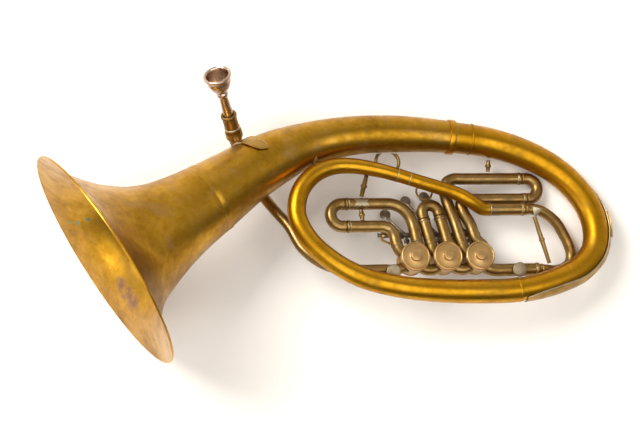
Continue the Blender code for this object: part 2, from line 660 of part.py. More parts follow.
def build_receiver_brace():
    """A band round the receiver, carried by a leaf-shaped foot bent over the bell tube."""
    band = collar("band", 9.8, 8.3 + GAP, below_rim(91), below_rim(83), 16)
    path = [(66, 86, 2.5), (73, 60, 6.5), (80, 34, 6.0), (86, 12, 0.8)]
    leaf = saddle("leaf", horn_section(1, 30), path, 1.2, lift=1.3, rows=9, columns=3)
    foot = on_tube(horn_section(1, 30), 68, math.radians(80), 3.0)
    side = (foot - below_rim(87)).normalized()
    web = swept("web", [(*(below_rim(87) + side * 9.0), 2.6), (*foot, 2.0)], 6, capped=True)
    keep(joined("receiver_brace", [leaf, web, band]), "nickel")


# ---------------------------------------------------------------- levers

def build_rod_and_bridge():
    """The hinge rod, and the bar on the casings whose eyes carry it."""
    low, high = ROD_ENDS
    keep(cylinder("hinge_rod", ROD_RADIUS, (low, ROD_V, ROD_W), (high, ROD_V, ROD_W), 12), "steel")
    bar = plate("bar", [(76.0, -20.5), (76.0, -25.6), (97.0, -36.6), (193.0, -36.6), (193.0, -33.4),
                        (98.0, -33.4), (78.6, -25.0), (78.6, -20.5)],
                3.0, (0, 0, ROD_W - 1.5), (1, 0, 0), (0, 1, 0))
    pieces = [bar, cylinder("eye", 4.0, (76.0, ROD_V, ROD_W), (78.6, ROD_V, ROD_W), 10)]
    for u in (130.0, 163.0, 191.0):
        outline = [(-35.0, -2.2), (ROD_V, -2.2), (ROD_V, 2.2), (-35.0, 2.2)]
        arm = plate("arm", outline, 2.4, (u, 0, ROD_W - 0.8), (0, 1, 0), (0, 0, 1))
        pieces += [arm, cylinder("eye", 4.0, (u - 1.4, ROD_V, ROD_W), (u + 1.4, ROD_V, ROD_W), 10)]
    bridge = joined("lever_bridge", pieces)
    keep(cut(bridge, cylinder("hole", HUB_BORE, (60, ROD_V, ROD_W), (215, ROD_V, ROD_W), 8)), "valve_brass")


def build_lever(valve):
    """A hub on the rod, an arm to the finger plate, and a tail down to the link."""
    low, high = HUBS[valve]
    hub = cylinder("hub", HUB_RADIUS, (low, ROD_V, ROD_W), (high, ROD_V, ROD_W), 12)
    finger = Vector(FINGERS[valve])
    root = Vector((VALVE_U[valve] - 1.0, ROD_V + 0.6, ROD_W - 1.6))
    knee = root.lerp(finger, 0.42) + Vector((0, 0, -3.0))
    under_pad = finger + Vector((0, -1, -0.6))
    arm = swept("arm", flow([(*root, 1.6), (*knee, 1.6), (*under_pad, 1.6)], 14), 6, capped=True)
    pad = turned("pad", [(0, 1.2), (4.5, 1.0), (FINGER_RADIUS, 0.4), (FINGER_RADIUS, -0.5), (0, -1.1)],
                 finger, (0, 0, 1), 12)
    half = math.radians(LEVER_TURN_DEG / 2)
    down, over = Vector((0, -math.sin(half), -math.cos(half))), Vector((0, math.cos(half), -math.sin(half)))
    u = VALVE_U[valve] + LINK_SHIFT
    tail = plate("tail", [(-2.0, -0.5), (2.0, -0.5), (1.8, TAIL + 1.8), (-1.8, TAIL + 1.8)], 1.8,
                 (u - 3.1, ROD_V, ROD_W), over, down)
    pin = cylinder("pin", 1.0, (u - 3.4, TAIL_V, TAIL_W), (u + 2.2, TAIL_V, TAIL_W), 8)
    lever = joined("lever_%d" % (valve + 1), [hub, arm, pad, tail, pin])
    cut(lever, cylinder("bore", HUB_BORE, (low - 2, ROD_V, ROD_W), (high + 2, ROD_V, ROD_W), 12))
    keep(lever, "steel", ((low + high) / 2, ROD_V, ROD_W))


def build_link(valve):
    """A flat link from the lever's tail to the stop arm's pin, with an eye at each end."""
    u = VALVE_U[valve] + LINK_SHIFT
    pin_v = VALVE_V + PIN_ORBIT * math.sin(math.radians(PIN_REST_DEG))
    low, high = pin_v + 2.8, TAIL_V - 1.4
    bar = plate("bar", [(-1.5, low), (1.5, low), (1.5, high), (-1.5, high)], 1.8,
                (u, 0, TAIL_W), (1, 0, 0), (0, 1, 0))
    eye = collar("eye", 3.6, 2.2, (u, pin_v, TAIL_W - 0.8), (u, pin_v, TAIL_W + 0.8), 14)
    head = collar("head", 2.5, 1.35, (u - 1.6, TAIL_V, TAIL_W), (u + 1.6, TAIL_V, TAIL_W), 10)
    keep(joined("link_%d" % (valve + 1), [bar, eye, head]), "steel", (u, TAIL_V, TAIL_W))


def build_spring(valve):
    """A coil round the rod beside the lever's hub."""
    first = SPRINGS_FROM[valve]
    turns, per_turn, pitch, radius = 4, 6, 1.5, 4.0
    route = []
    for k in range(turns * per_turn + 1):
        angle = math.tau * k / per_turn
        along = first + pitch * k / per_turn
        route.append((along, ROD_V + radius * math.cos(angle), ROD_W + radius * math.sin(angle), 0.5))
    keep(swept("lever_spring_%d" % (valve + 1), route, 4, capped=True), "steel")


# ---------------------------------------------------------------- rings, braces and discs

def build_rings():
    """A thumb ring under the bell tube, and the pull ring of the second valve's slide."""
    thumb = ring("thumb_ring", (86.0, 63.5, -8.0), 13.6, 1.9, deep=1.3)
    shadow = sized(flow([(40, 92.5, 0), (86, 94.9, 0), (130, 93.9, 0)], 30), 22.2 + GAP)
    keep(cut(thumb, swept("bell_tube", shadow, 16, capped=True)), "slide_brass")
    keep(ring("pull_ring", (128.7, 28.8, VALVE_W), 9.4, 1.2), "slide_brass", (129.0, 1.0, VALVE_W))


def build_braces():
    keep(strut("branch_slide_brace", (55.6, 41.5, 7.0), (52.2, 22.6, -9.8), 1.7), "slide_brass")
    keep(strut("slide_1_brace", (51.5, SLIDE1_UPPER_V - TUBE_RADIUS - GAP, VALVE_W),
               (52.5, SLIDE1_LOWER_V + TUBE_RADIUS + GAP, VALVE_W), 1.6), "slide_brass")
    keep(strut("bell_slide_brace", (208.5, 65.0, -7.0), (208.3, 52.4, -12.5), 1.6), "slide_brass")
    post = [(0, 2.4), (2.8, 2.4), (2.0, 1.8), (2.0, 0.6), (3.0, 0), (0, 0)]
    keep(turned("bell_bow_brace", post, (-3.0, 54.9, 8.6), (-0.15, 0.95, -0.27), 10), "nickel")


def build_flange_discs():
    """Round feet on the front of the main line, with stubs towards the bottom run."""
    for name, u in (("flange_disc_left", 81.7), ("flange_disc_right", 232.0)):
        at = Vector((u, -68.4, VALVE_W + SLEEVE_RADIUS + GAP + 0.4))
        profile = [(0, 1.8), (7.8, 1.8), (8.5, 1.1), (8.5, 0), (0, 0)]
        keep(turned(name, profile, at, (0, -0.25, 0.97), 16), "nickel")


def build_horn():
    build_bell()
    build_bows()
    build_bow_guard()
    build_tuning_slide()
    for valve in range(3):
        build_valve(valve)
        build_lever(valve)
        build_link(valve)
        build_spring(valve)
    for valve in range(2):
        build_knuckle(valve)
    build_slide_1()
    build_slide_2()
    build_slide_3()
    build_leadpipe()
    build_receiver()
    build_mouthpiece()
    build_receiver_brace()
    build_rod_and_bridge()
    build_rings()
    build_braces()
    build_flange_discs()


clear_scene()
PARTS = new_collection("euphonium")
HORN = bpy.data.objects.new("horn_frame", None)
PARTS.objects.link(HORN)
HORN.rotation_mode = "QUATERNION"
HORN.rotation_quaternion = (Quaternion((0, 1, 0), math.radians(TILT_DEG))
                            @ Quaternion((1, 0, 0), math.radians(-ROLL_DEG)))
HORN.location = Vector(FRAME_AT) * MM
build_horn()
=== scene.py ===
"""Looks of the oval rotary-valve euphonium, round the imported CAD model.

Each piece repeats its CAD solid at a fine resolution, with bands, beads, flanges and worn metal added.
As in the part's source, everything is laid out in millimetres in the horn's own frame:
  u  runs along the valve slides, from the bell towards the bottom bow
  v  runs across the oval, from the valve line towards the bell tube
  w  is square to the oval, towards the valve caps; the finger levers are on the far side
"""
import json
import math

import bmesh
import bpy
from mathutils import Matrix, Quaternion, Vector


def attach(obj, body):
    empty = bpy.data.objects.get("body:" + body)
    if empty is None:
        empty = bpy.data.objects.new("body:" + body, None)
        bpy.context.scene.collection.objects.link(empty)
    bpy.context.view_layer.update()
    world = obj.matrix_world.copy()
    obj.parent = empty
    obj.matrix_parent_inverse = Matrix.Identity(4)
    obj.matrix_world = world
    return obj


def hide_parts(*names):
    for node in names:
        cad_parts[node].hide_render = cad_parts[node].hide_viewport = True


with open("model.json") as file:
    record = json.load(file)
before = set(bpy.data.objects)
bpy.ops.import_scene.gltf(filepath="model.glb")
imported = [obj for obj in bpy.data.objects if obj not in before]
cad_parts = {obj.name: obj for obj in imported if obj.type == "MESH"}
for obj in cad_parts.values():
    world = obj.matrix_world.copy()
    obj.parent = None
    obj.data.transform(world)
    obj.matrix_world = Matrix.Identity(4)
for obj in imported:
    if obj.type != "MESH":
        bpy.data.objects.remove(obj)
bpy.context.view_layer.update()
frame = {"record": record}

MM = 0.001
FINE = 4                        # how much finer than the CAD solids, along and around
GAP = 0.3                       # clearance kept between pieces that touch, mm
SEAM = 0.15                     # half the gap between two butted tubes, mm
SQUARE_END = 0.1                # straight end of a butted tube, in radii
SIDES = 10                      # of a slender tube, before FINE
BOW_TRIM = 0.55                 # the round bow is slimmer by this, to rest on the ground as its facets do
STRUT_SWELL = 1.7               # how much stouter a strut's waist is than in the CAD model
FLAT_RADIUS = 15.0              # tube radius at which a bent sheet's path is laid flat

# How the horn lies on the ground: bell end up, bell tube side down
TILT_DEG = 9.85
ROLL_DEG = 12.41
FRAME_AT = (-14.2, 1.09, 75.54)   # the horn frame's origin over the ground, mm

# Bell: its middle line (u, v, w), and its outer radius by distance from the mouth
BELL_WALL = 0.7
BELL_LINE = [(-244.0, -52.2, -0.16), (-237.2, -48.0, 0), (-190.5, -22.6, 0), (-130.0, 15.0, 0)]
BELL_PROFILE = [
    (0, 131.7), (4, 118.5), (9, 106.0), (18, 91.0), (30, 78.0), (53, 63.4), (76, 53.8), (100, 47.5)]

# Bows: (u, v, w, outer radius) at the knots of the tapering tube
TUBE_WALL = 0.6
STEM_KNOTS = [
    (-130.0, 15.0, 0, 42.3), (-75.0, 51.0, 0, 34.0), (-43.0, 68.5, 0, 30.5), (-18.0, 79.0, 0, 26.6),
    (42.0, 92.5, 0, 22.6), (102.0, 95.0, 0, 21.2), (164.0, 91.0, 0, 18.7)]
BOTTOM_KNOTS = [
    (164.0, 91.0, 0, 18.7), (208.0, 84.6, 0, 18.0), (243.0, 74.0, 0, 17.4), (276.0, 57.7, 0, 16.6),
    (303.0, 35.0, 0, 16.2), (323.0, 4.4, 0, 16.0), (329.0, -24.0, 0, 16.0), (323.0, -50.0, 0, 15.8),
    (305.0, -69.0, 0, 15.5), (277.0, -82.0, 1, 15.0), (227.0, -94.0, 2, 14.1)]
LEFT_KNOTS = [
    (227.0, -94.0, 2, 14.1), (180.0, -95.6, 3, 13.8), (131.0, -94.0, 4, 13.2), (84.5, -88.6, 5, 12.6),
    (39.0, -76.0, 6, 12.0), (6.0, -56.0, 7, 11.5), (-17.6, -31.5, 8, 11.0), (-28.5, -5.0, 9, 10.7),
    (-23.5, 22.0, 10, 10.5), (-5.0, 43.0, 11, 10.2), (19.0, 52.0, 11, 9.5), (36.5, 52.5, 11, 9.0),
    (65.5, 48.0, 11, 8.4), (90.0, 42.0, 10, 7.9)]
BRANCH_KNOTS = [
    (90.0, 42.0, 10, 7.9), (105.0, 37.6, 9, 7.8), (142.0, 27.0, 6, 8.0), (154.0, 23.7, 4.8, 8.0),
    (166.0, 19.0, 3.6, 8.0), (176.0, 13.8, 2.4, 8.0), (186.0, 8.6, -1.0, 8.0), (193.5, 5.0, -4.2, 7.9),
    (199.0, 4.2, -5.0, 7.7), (202.0, 4.2, -5.0, 7.6)]

BELL, STEM, BOTTOM_BOW, LEFT_BOW, BRANCH = range(5)     # the sections of the horn's own tube

# Main tuning slide: its crook draws out of two sleeves
SLEEVE_RADIUS, SLEEVE_BORE, SLIDE_RADIUS = 7.5, 6.75, 6.3
UPPER_V, UPPER_W = 4.2, -5.0
UPPER_SLEEVE = (202.0, 245.0)
CROOK_KNOTS = [
    (246.0, 4.2, -5.0), (265.0, 2.4, -6.0), (275.0, -2.2, -9.0), (286.3, -10.6, -13.5),
    (295.4, -22.5, -19.0), (301.5, -33.2, -23.0), (305.0, -43.6, -25.5), (303.0, -55.0, -26.5),
    (293.5, -62.8, -26.0), (282.5, -65.8, -23.2), (271.0, -66.6, -17.8), (259.5, -66.6, -14.0)]
INNER_LEG_ENDS = (208.0, 222.0)
LOWER_V = -66.6
LOWER_SLEEVE_END = 258.0

# Valves: three casings in a row, with their four ports each
VALVE_W = -14.0                 # the plane of all the valve tubes
VALVE_V = -52.5
VALVE_U = (107.5, 146.0, 184.5)
CASING_RADIUS, CASING_BORE = 15.5, 13.9
CASING_TOP, CASING_FOOT = -1.0, -27.0
ROTOR_RADIUS = 13.4
ROTOR_TOP, ROTOR_FOOT = -4.0, -24.0
PORT_RADIUS = 6.0
PORTS_DEG = (56.0, 144.0, 225.0, 315.0)
CHANNEL_OFFSET, CHANNEL_RADIUS = 17.0, 11.0
CHANNEL_HALF = 6.2
CAP_RADIUS = 17.0
CAP_SKIRT = 4.0
PLATE_RADIUS, PLATE_THICK = 14.8, 2.2
SPINDLE_RADIUS = 3.0
SPINDLE_FOOT = -32.2
CORK_ORBIT = 9.2
CORKS_DEG = (110, 250)
PORT_KNOTS_AT = (10.0, 16.5)    # knots of a tube that leaves a port, from the valve's middle

# Valve tubes
TUBE_RADIUS, TUBE_BORE = 6.8, 6.25
LEG_RADIUS = 5.9
SLIDE1_UPPER_V, SLIDE1_LOWER_V = 14.8, -12.3
SLIDE1_MOUTH = 33.0
SLIDE2_LEAN_DEG = 101.5
SLIDE2_LEFT, SLIDE2_RIGHT = (125.1, -5.0), (144.6, -1.0)
SLIDE3_UPPER_V, SLIDE3_LOWER_V = 44.3, 19.0
SLIDE3_MOUTHS = (248.0, 252.0)

# Finger levers on one hinge rod, links to the rotors' stop arms
ROD_V, ROD_W, ROD_RADIUS = -20.0, -26.0, 2.0
ROD_ENDS = (73.0, 194.0)
LEVER_TURN_DEG = 24.0
TAIL = 15.0
HUB_RADIUS, HUB_BORE = 3.0, 2.3
HUBS = ((79.0, 116.0), (143.0, 155.0), (178.0, 188.6))
SPRINGS_FROM = (97.0, 135.6, 170.6)
FINGERS = ((87.0, 9.6, -41.0), (113.5, 26.3, -43.0), (136.3, 31.0, -42.0))
FINGER_RADIUS = 6.5
PIN_RADIUS = 1.1
PIN_REST_DEG = -45.0
PIN_ORBIT = TAIL * math.sin(math.radians(LEVER_TURN_DEG / 2)) / math.sin(math.radians(45))
TAIL_V = ROD_V - TAIL * math.sin(math.radians(LEVER_TURN_DEG / 2))
TAIL_W = ROD_W - TAIL * math.cos(math.radians(LEVER_TURN_DEG / 2))
LINK_SHIFT = 3.75               # the link's line along u, from the valve's centre

# Receiver and mouthpiece
MOUTH_AXIS = Vector((-0.31, 0.50, 0.81)).normalized()
RIM_CENTRE = Vector((-119.5, 140.5, 66.0))
RECEIVER_TOP, RECEIVER_FOOT = 58.0, 105.0       # below the rim, along the axis
MOUTHPIECE_LENGTH = 80.0
LEADPIPE_RADIUS = 6.2
LEADPIPE_KNOTS = [
    (-79.5, 74.5, -36.0), (-70.0, 57.0, -43.0), (-58.0, 36.0, -42.0), (-46.0, 16.0, -36.0),
    (-31.0, -6.0, -30.0), (-17.0, -35.0, -25.0), (9.0, -57.0, -19.0), (40.0, -63.0, -15.5),
    (72.8, -63.8, -14.0), (88.0, -64.0, -14.0), (98.0, -61.0, -14.0)]


# ---------------------------------------------------------------- worn metal

HORN = (Matrix.Translation(Vector(FRAME_AT) * MM)
        @ (Quaternion((0, 1, 0), math.radians(TILT_DEG))
           @ Quaternion((1, 0, 0), math.radians(-ROLL_DEG))).to_matrix().to_4x4())
TO_HORN = HORN.inverted()


def set_stops(ramp, stops):
    """Give a colour ramp its (position, colour) stops."""
    while len(ramp.elements) < len(stops):
        ramp.elements.new(0.5)
    for element, (position, colour) in zip(ramp.elements, stops):
        element.position = position
        element.color = (*colour, 1.0)


class Graph:
    """A material's nodes, made and linked in one call each."""

    def __init__(self, name):
        self.material = bpy.data.materials.new(name)
        self.material.use_nodes = True
        self.nodes = self.material.node_tree.nodes
        self.links = self.material.node_tree.links
        self.shader = self.nodes["Principled BSDF"]

    def plug(self, socket, value):
        if isinstance(value, bpy.types.NodeSocket):
            self.links.new(value, socket)
        else:
            socket.default_value = value

    def place(self):
        """The point in the horn's frame, in metres."""
        where = self.nodes.new("ShaderNodeTexCoord").outputs["Object"]
        mapping = self.nodes.new("ShaderNodeMapping")
        mapping.inputs["Location"].default_value = TO_HORN.translation
        mapping.inputs["Rotation"].default_value = TO_HORN.to_euler()
        self.plug(mapping.inputs["Vector"], where)
        return mapping.outputs["Vector"]

    def stretched(self, where, scale):
        mapping = self.nodes.new("ShaderNodeMapping")
        mapping.inputs["Scale"].default_value = scale
        self.plug(mapping.inputs["Vector"], where)
        return mapping.outputs["Vector"]

    def noise(self, where, scale, detail=4.0, roughness=0.6, distortion=0.0):
        node = self.nodes.new("ShaderNodeTexNoise")
        self.plug(node.inputs["Vector"], where)
        node.inputs["Scale"].default_value = scale
        node.inputs["Detail"].default_value = detail
        node.inputs["Roughness"].default_value = roughness
        node.inputs["Distortion"].default_value = distortion
        return node.outputs["Fac"]

    def span(self, value, low, high, to_low, to_high):
        node = self.nodes.new("ShaderNodeMapRange")
        node.interpolation_type = "SMOOTHSTEP"
        numbers = (value, low, high, to_low, to_high)
        for socket, number in zip(node.inputs, numbers):
            self.plug(socket, number)
        return node.outputs["Result"]

    def sums(self, operation, a, b):
        node = self.nodes.new("ShaderNodeMath")
        node.operation = operation
        self.plug(node.inputs[0], a)
        self.plug(node.inputs[1], b)
        return node.outputs[0]

    def tones(self, value, stops):
        node = self.nodes.new("ShaderNodeValToRGB")
        set_stops(node.color_ramp, stops)
        self.plug(node.inputs["Fac"], value)
        return node.outputs["Color"]

    def mix(self, share, under, over):
        node = self.nodes.new("ShaderNodeMix")
        node.data_type = "RGBA"
        self.plug(node.inputs["Factor"], share)
        for socket, colour in ((node.inputs["A"], under), (node.inputs["B"], over)):
            self.plug(socket, colour if isinstance(colour, bpy.types.NodeSocket) else (*colour, 1.0))
        return node.outputs["Result"]

    def spot(self, where, centre, size):
        """One inside a soft ball round a point in the horn's frame, in mm, fading to nothing at its edge."""
        node = self.nodes.new("ShaderNodeVectorMath")
        node.operation = "DISTANCE"
        self.plug(node.inputs[0], where)
        node.inputs[1].default_value = Vector(centre) * MM
        return self.span(node.outputs["Value"], size * 0.35 * MM, size * MM, 1.0, 0.0)

    def bump(self, height, distance):
        node = self.nodes.new("ShaderNodeBump")
        node.inputs["Distance"].default_value = distance
        self.plug(node.inputs["Height"], height)
        self.plug(self.shader.inputs["Normal"], node.outputs["Normal"])


# dark, middle and light tone; patina tone and its share; roughness low and high; dents in mm
WORN = {
    "bell_brass": ((0.21, 0.10, 0.005), (0.39, 0.20, 0.014), (0.56, 0.31, 0.05), (0.31, 0.19, 0.09), 0.42,
                   0.27, 0.41, 0.11),
    "bow_brass": ((0.28, 0.13, 0.004), (0.46, 0.22, 0.008), (0.60, 0.32, 0.025), (0.27, 0.15, 0.02), 0.4,
                  0.27, 0.40, 0.06),
    "slide_brass": ((0.14, 0.08, 0.018), (0.27, 0.165, 0.05), (0.41, 0.27, 0.11), (0.17, 0.11, 0.055), 0.5,
                    0.27, 0.45, 0.05),
    "valve_brass": ((0.28, 0.16, 0.055), (0.47, 0.285, 0.105), (0.60, 0.39, 0.17), (0.30, 0.18, 0.09), 0.5,
                    0.34, 0.52, 0.05),
    "guard_brass": ((0.20, 0.11, 0.02), (0.38, 0.22, 0.05), (0.52, 0.34, 0.12), (0.24, 0.16, 0.07), 0.6,
                    0.30, 0.46, 0.08),
    "flange_nickel": ((0.15, 0.11, 0.065), (0.29, 0.23, 0.145), (0.44, 0.38, 0.27), (0.22, 0.15, 0.08), 0.6,
                      0.32, 0.52, 0.10),
    "nickel_silver": ((0.26, 0.215, 0.14), (0.44, 0.37, 0.25), (0.60, 0.54, 0.42), (0.31, 0.23, 0.12), 0.5,
                      0.28, 0.48, 0.05),
    "lever_steel": ((0.07, 0.055, 0.04), (0.19, 0.155, 0.115), (0.36, 0.30, 0.23), (0.14, 0.085, 0.045), 0.5,
                    0.28, 0.52, 0.05),
    "silver_plate": ((0.30, 0.21, 0.15), (0.54, 0.42, 0.32), (0.82, 0.73, 0.64), (0.30, 0.13, 0.07), 0.5,
                     0.12, 0.28, 0.015),
}


def worn_metal(name):
    """Metal with cloudy tones, patina in patches, scratches, pits and shallow dents."""
    dark, middle, light, patina, patina_share, smooth, rough, dents = WORN[name]
    graph = Graph(name + "_worn")
    where = graph.place()
    cloud = graph.noise(where, 16.0, 5.0, 0.62, 0.5)
    grain = graph.noise(where, 130.0, 5.0, 0.7, 0.3)
    speck = graph.noise(where, 620.0, 2.0, 0.6)
    along = graph.noise(graph.stretched(where, (12.0, 240.0, 240.0)), 5.0, 3.0, 0.7)
    blend = graph.sums("ADD", graph.sums("MULTIPLY", cloud, 0.65), graph.sums("MULTIPLY", grain, 0.35))
    colour = graph.tones(blend, [(0.32, dark), (0.5, middle), (0.70, light)])
    patches = graph.span(graph.noise(where, 27.0, 6.0, 0.66, 1.1), 0.53, 0.66, 0.0, patina_share)
    colour = graph.mix(patches, colour, patina)
    pits = graph.span(speck, 0.68, 0.76, 0.0, 0.65)
    colour = graph.mix(pits, colour, tuple(tone * 0.35 for tone in dark))
    if name == "bell_brass":
        colour = bell_marks(graph, where, colour)
    graph.plug(graph.shader.inputs["Base Color"], colour)
    graph.shader.inputs["Metallic"].default_value = 1.0
    roughness = graph.span(blend, 0.38, 0.66, rough, smooth)
    roughness = graph.sums("ADD", roughness, graph.sums("MULTIPLY", patches, 0.22))
    roughness = graph.sums("ADD", roughness, graph.span(along, 0.55, 0.75, 0.0, 0.08))
    graph.plug(graph.shader.inputs["Roughness"], roughness)
    height = graph.sums("MULTIPLY", graph.noise(where, 26.0, 2.0, 0.5), dents)
    height = graph.sums("ADD", height, graph.sums("MULTIPLY", grain, dents * 0.25))
    height = graph.sums("SUBTRACT", height, graph.sums("MULTIPLY", pits, dents * 0.5))
    height = graph.sums("ADD", height, graph.sums("MULTIPLY", along, dents * 0.12))
    graph.bump(height, MM)
    return graph.material


# Inside the bell: stains and verdigris, as (u, v, w) in mm and the size of each
PURPLE_STAINS = [
    ((-215.0, -65.6, -85.0), 17.0), ((-207.5, -79.5, -79.0), 15.0), ((-222.0, -56.0, -85.0), 11.0)]
VERDIGRIS = [((-275.6, 16.6, -80.6), 3.2), ((-266.3, 13.9, -73.3), 5.2), ((-255.7, 13.2, -60.4), 3.8)]


def bell_marks(graph, where, colour):
    """The stains and the verdigris over the bell's brass, with ragged edges."""
    ragged = graph.noise(where, 90.0, 4.0, 0.6)
    for marks, tone, edge in ((PURPLE_STAINS, (0.20, 0.11, 0.085), (0.35, 0.6, 0.2, 0.8)),
                              (VERDIGRIS, (0.05, 0.21, 0.15), (0.4, 0.55, 0.0, 0.95))):
        for centre, size in marks:
            share = graph.sums("MULTIPLY", graph.spot(where, centre, size), graph.span(ragged, *edge))
            colour = graph.mix(share, colour, tone)
    return colour


def cork():
    graph = Graph("cork")
    where = graph.place()
    grain = graph.noise(where, 900.0, 3.0, 0.6)
    graph.plug(graph.shader.inputs["Base Color"],
               graph.tones(grain, [(0.35, (0.20, 0.11, 0.05)), (0.6, (0.42, 0.27, 0.14))]))
    graph.shader.inputs["Roughness"].default_value = 0.9
    graph.bump(grain, 0.2 * MM)
    return graph.material


LOOKS = {name: worn_metal(name) for name in WORN}
LOOKS["cork"] = cork()
# The slot of each look; a look with no metal of its own takes its slot's
SLOTS = {name: name for name in WORN}
SLOTS.update(cork="valve_brass", nickel="nickel_silver", steel="lever_steel", silver="silver_plate",
             guard_brass="nickel_silver", flange_nickel="nickel_silver")
BODY_OF = {node: body for body, nodes in frame["record"]["behaviour"]["bodies"].items() for node in nodes}


# ---------------------------------------------------------------- pieces

def new_object(name, data):
    obj = bpy.data.objects.new(name, data)
    bpy.context.scene.collection.objects.link(obj)
    return obj


def dress(obj, look, body):
    """Give a finished piece its metal and its body. Its mesh is in the horn's frame until here."""
    obj.data.materials.clear()
    obj.data.materials.append(LOOKS.get(look, LOOKS[SLOTS[look]]))
    obj.data.transform(HORN)
    obj.data.shade_smooth()
    obj.data.set_sharp_from_angle(angle=math.radians(40))
    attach(obj, body)


def keep(obj, look):
    """A piece that stands for the CAD node of its name, to which Blender has added a number."""
    node = obj.name.partition(".")[0]
    obj.name = node + "_fine"
    dress(obj, look, BODY_OF[node])
    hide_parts(node)


def add(obj, look, body="horn"):
    """A detail piece that the CAD model leaves out."""
    dress(obj, look, body)


def freeze(obj):
    """Turn an object's modifiers into plain mesh."""
    graph = bpy.context.evaluated_depsgraph_get()
    mesh = bpy.data.meshes.new_from_object(obj.evaluated_get(graph))
    obj.modifiers.clear()
    obj.data = mesh
    return obj


def combine(first, others, operation):
    """Join or cut the first solid with the others, which are used up."""
    for other in others:
        modifier = first.modifiers.new("boolean", "BOOLEAN")
        modifier.operation = operation
        modifier.object = other
        freeze(first)
        bpy.data.objects.remove(other, do_unlink=True)
    return first


def joined(name, pieces):
    obj = combine(pieces[0], pieces[1:], "UNION")
    obj.name = name
    return obj


def cut(obj, *cutters):
    return combine(obj, cutters, "DIFFERENCE")


def softened(obj, width=0.25):
    """Round the edges of a turned or flat piece."""
    bevel = obj.modifiers.new("edge", "BEVEL")
    bevel.width = width * MM
    bevel.segments = 2
    bevel.limit_method = "ANGLE"
    bevel.angle_limit = math.radians(40)
    return freeze(obj)


# ---------------------------------------------------------------- routes

def flow(knots, step, first=0, last=None, seam=0.0):
    """A smooth route through knots, such as (u, v, w) or (u, v, w, radius), a point about every step mm.

    It can run from one knot to another only. With a seam, an end that meets another tube is cut square,
    that far short of its knot.
    """
    last = len(knots) - 1 if last is None else last
    spans = [math.dist(a[:3], b[:3]) for a, b in zip(knots, knots[1:])]
    chords = [[(q - p) / span for p, q in zip(a, b)] for a, b, span in zip(knots, knots[1:], spans)]
    slopes = [chords[0]]
    for i in range(1, len(knots) - 1):
        share = spans[i - 1] / (spans[i - 1] + spans[i])
        slopes.append([p * (1 - share) + q * share for p, q in zip(chords[i - 1], chords[i])])
    slopes.append(chords[-1])
    route = [tuple(knots[first])]
    for i in range(first, last):
        span = spans[i]
        count = max(1, round(span / step * FINE))
        for k in range(1, count + 1):
            t = k / count
            stay, leave = 2 * t ** 3 - 3 * t ** 2 + 1, (t ** 3 - 2 * t ** 2 + t) * span
            arrive, come = 3 * t ** 2 - 2 * t ** 3, (t ** 3 - t ** 2) * span
            ends = zip(knots[i], slopes[i], knots[i + 1], slopes[i + 1])
            route.append(tuple(stay * p + leave * m + arrive * q + come * n for p, m, q, n in ends))
    if seam and first > 0:
        straight = SQUARE_END * knots[first][3]
        route[:1] = [moved(knots[first], slopes[first], seam + extra) for extra in (0.0, straight)]
    if seam:
        straight = SQUARE_END * knots[last][3]
        route[-1:] = [moved(knots[last], slopes[last], -seam - extra) for extra in (straight, 0.0)]
    return route


def moved(knot, slope, distance):
    return tuple(p + m * distance for p, m in zip(knot, slope))


def u_turn(start, end, direction):
    """Half a circle from start to end, bulging along direction."""
    steps = 5 * FINE
    start, end, direction = Vector(start), Vector(end), Vector(direction).normalized()
    middle, half = (start + end) / 2, (start - end) / 2
    return [tuple(middle + half * math.cos(math.pi * k / steps)
                  + direction * half.length * math.sin(math.pi * k / steps)) for k in range(steps + 1)]


def sized(route, radius):
    return [(*point[:3], radius) for point in route]


def length_of(route):
    return sum(math.dist(a[:3], b[:3]) for a, b in zip(route, route[1:]))


def station(route, distance):
    """Place, direction and radius of a tube at a distance along its route."""
    for a, b in zip(route, route[1:]):
        span = math.dist(a[:3], b[:3])
        if distance <= span or b is route[-1]:
            share = distance / span
            place = Vector(a[:3]).lerp(Vector(b[:3]), share)
            radius = a[-1] + (b[-1] - a[-1]) * share
            return place, (Vector(b[:3]) - Vector(a[:3])).normalized(), radius
        distance -= span


def on_tube(route, distance, angle, lift):
    """A point over a tube's surface; the angle in radians goes from +w towards the outside of the oval."""
    place, along, radius = station(route, distance)
    front = (Vector((0, 0, 1)) - along * along.z).normalized()
    outward = front.cross(along)
    return place + (front * math.cos(angle) + outward * math.sin(angle)) * (radius + lift)


def horn_section(number, step):
    """The route of one section of the horn's own tube, a point about every step mm."""
    line = flow(BELL_LINE, 2)
    bell = [(*station(line, distance)[0], radius) for distance, radius in BELL_PROFILE] + STEM_KNOTS[:1]
    sections = [bell, STEM_KNOTS, BOTTOM_KNOTS, LEFT_KNOTS, BRANCH_KNOTS]
    knots = bell + [knot for section in sections[1:] for knot in section[1:]]
    first = sum(len(section) - 1 for section in sections[:number])
    return flow(knots, step, first, first + len(sections[number]) - 1, SEAM)


# ---------------------------------------------------------------- solids

def meshed(name, curve):
    """A curve's mesh, with the bevel or the fill that the curve has."""
    guide = new_object(name, curve)
    graph = bpy.context.evaluated_depsgraph_get()
    mesh = bpy.data.meshes.new_from_object(guide.evaluated_get(graph))
    bpy.data.objects.remove(guide, do_unlink=True)
    return mesh


def weld(mesh, closed):
    """Join double points. A closed mesh's faces are also turned outwards."""
    work = bmesh.new()
    work.from_mesh(mesh)
    bmesh.ops.remove_doubles(work, verts=work.verts, dist=1e-6)
    if closed:
        bmesh.ops.recalc_face_normals(work, faces=work.faces)
    work.to_mesh(mesh)
    work.free()


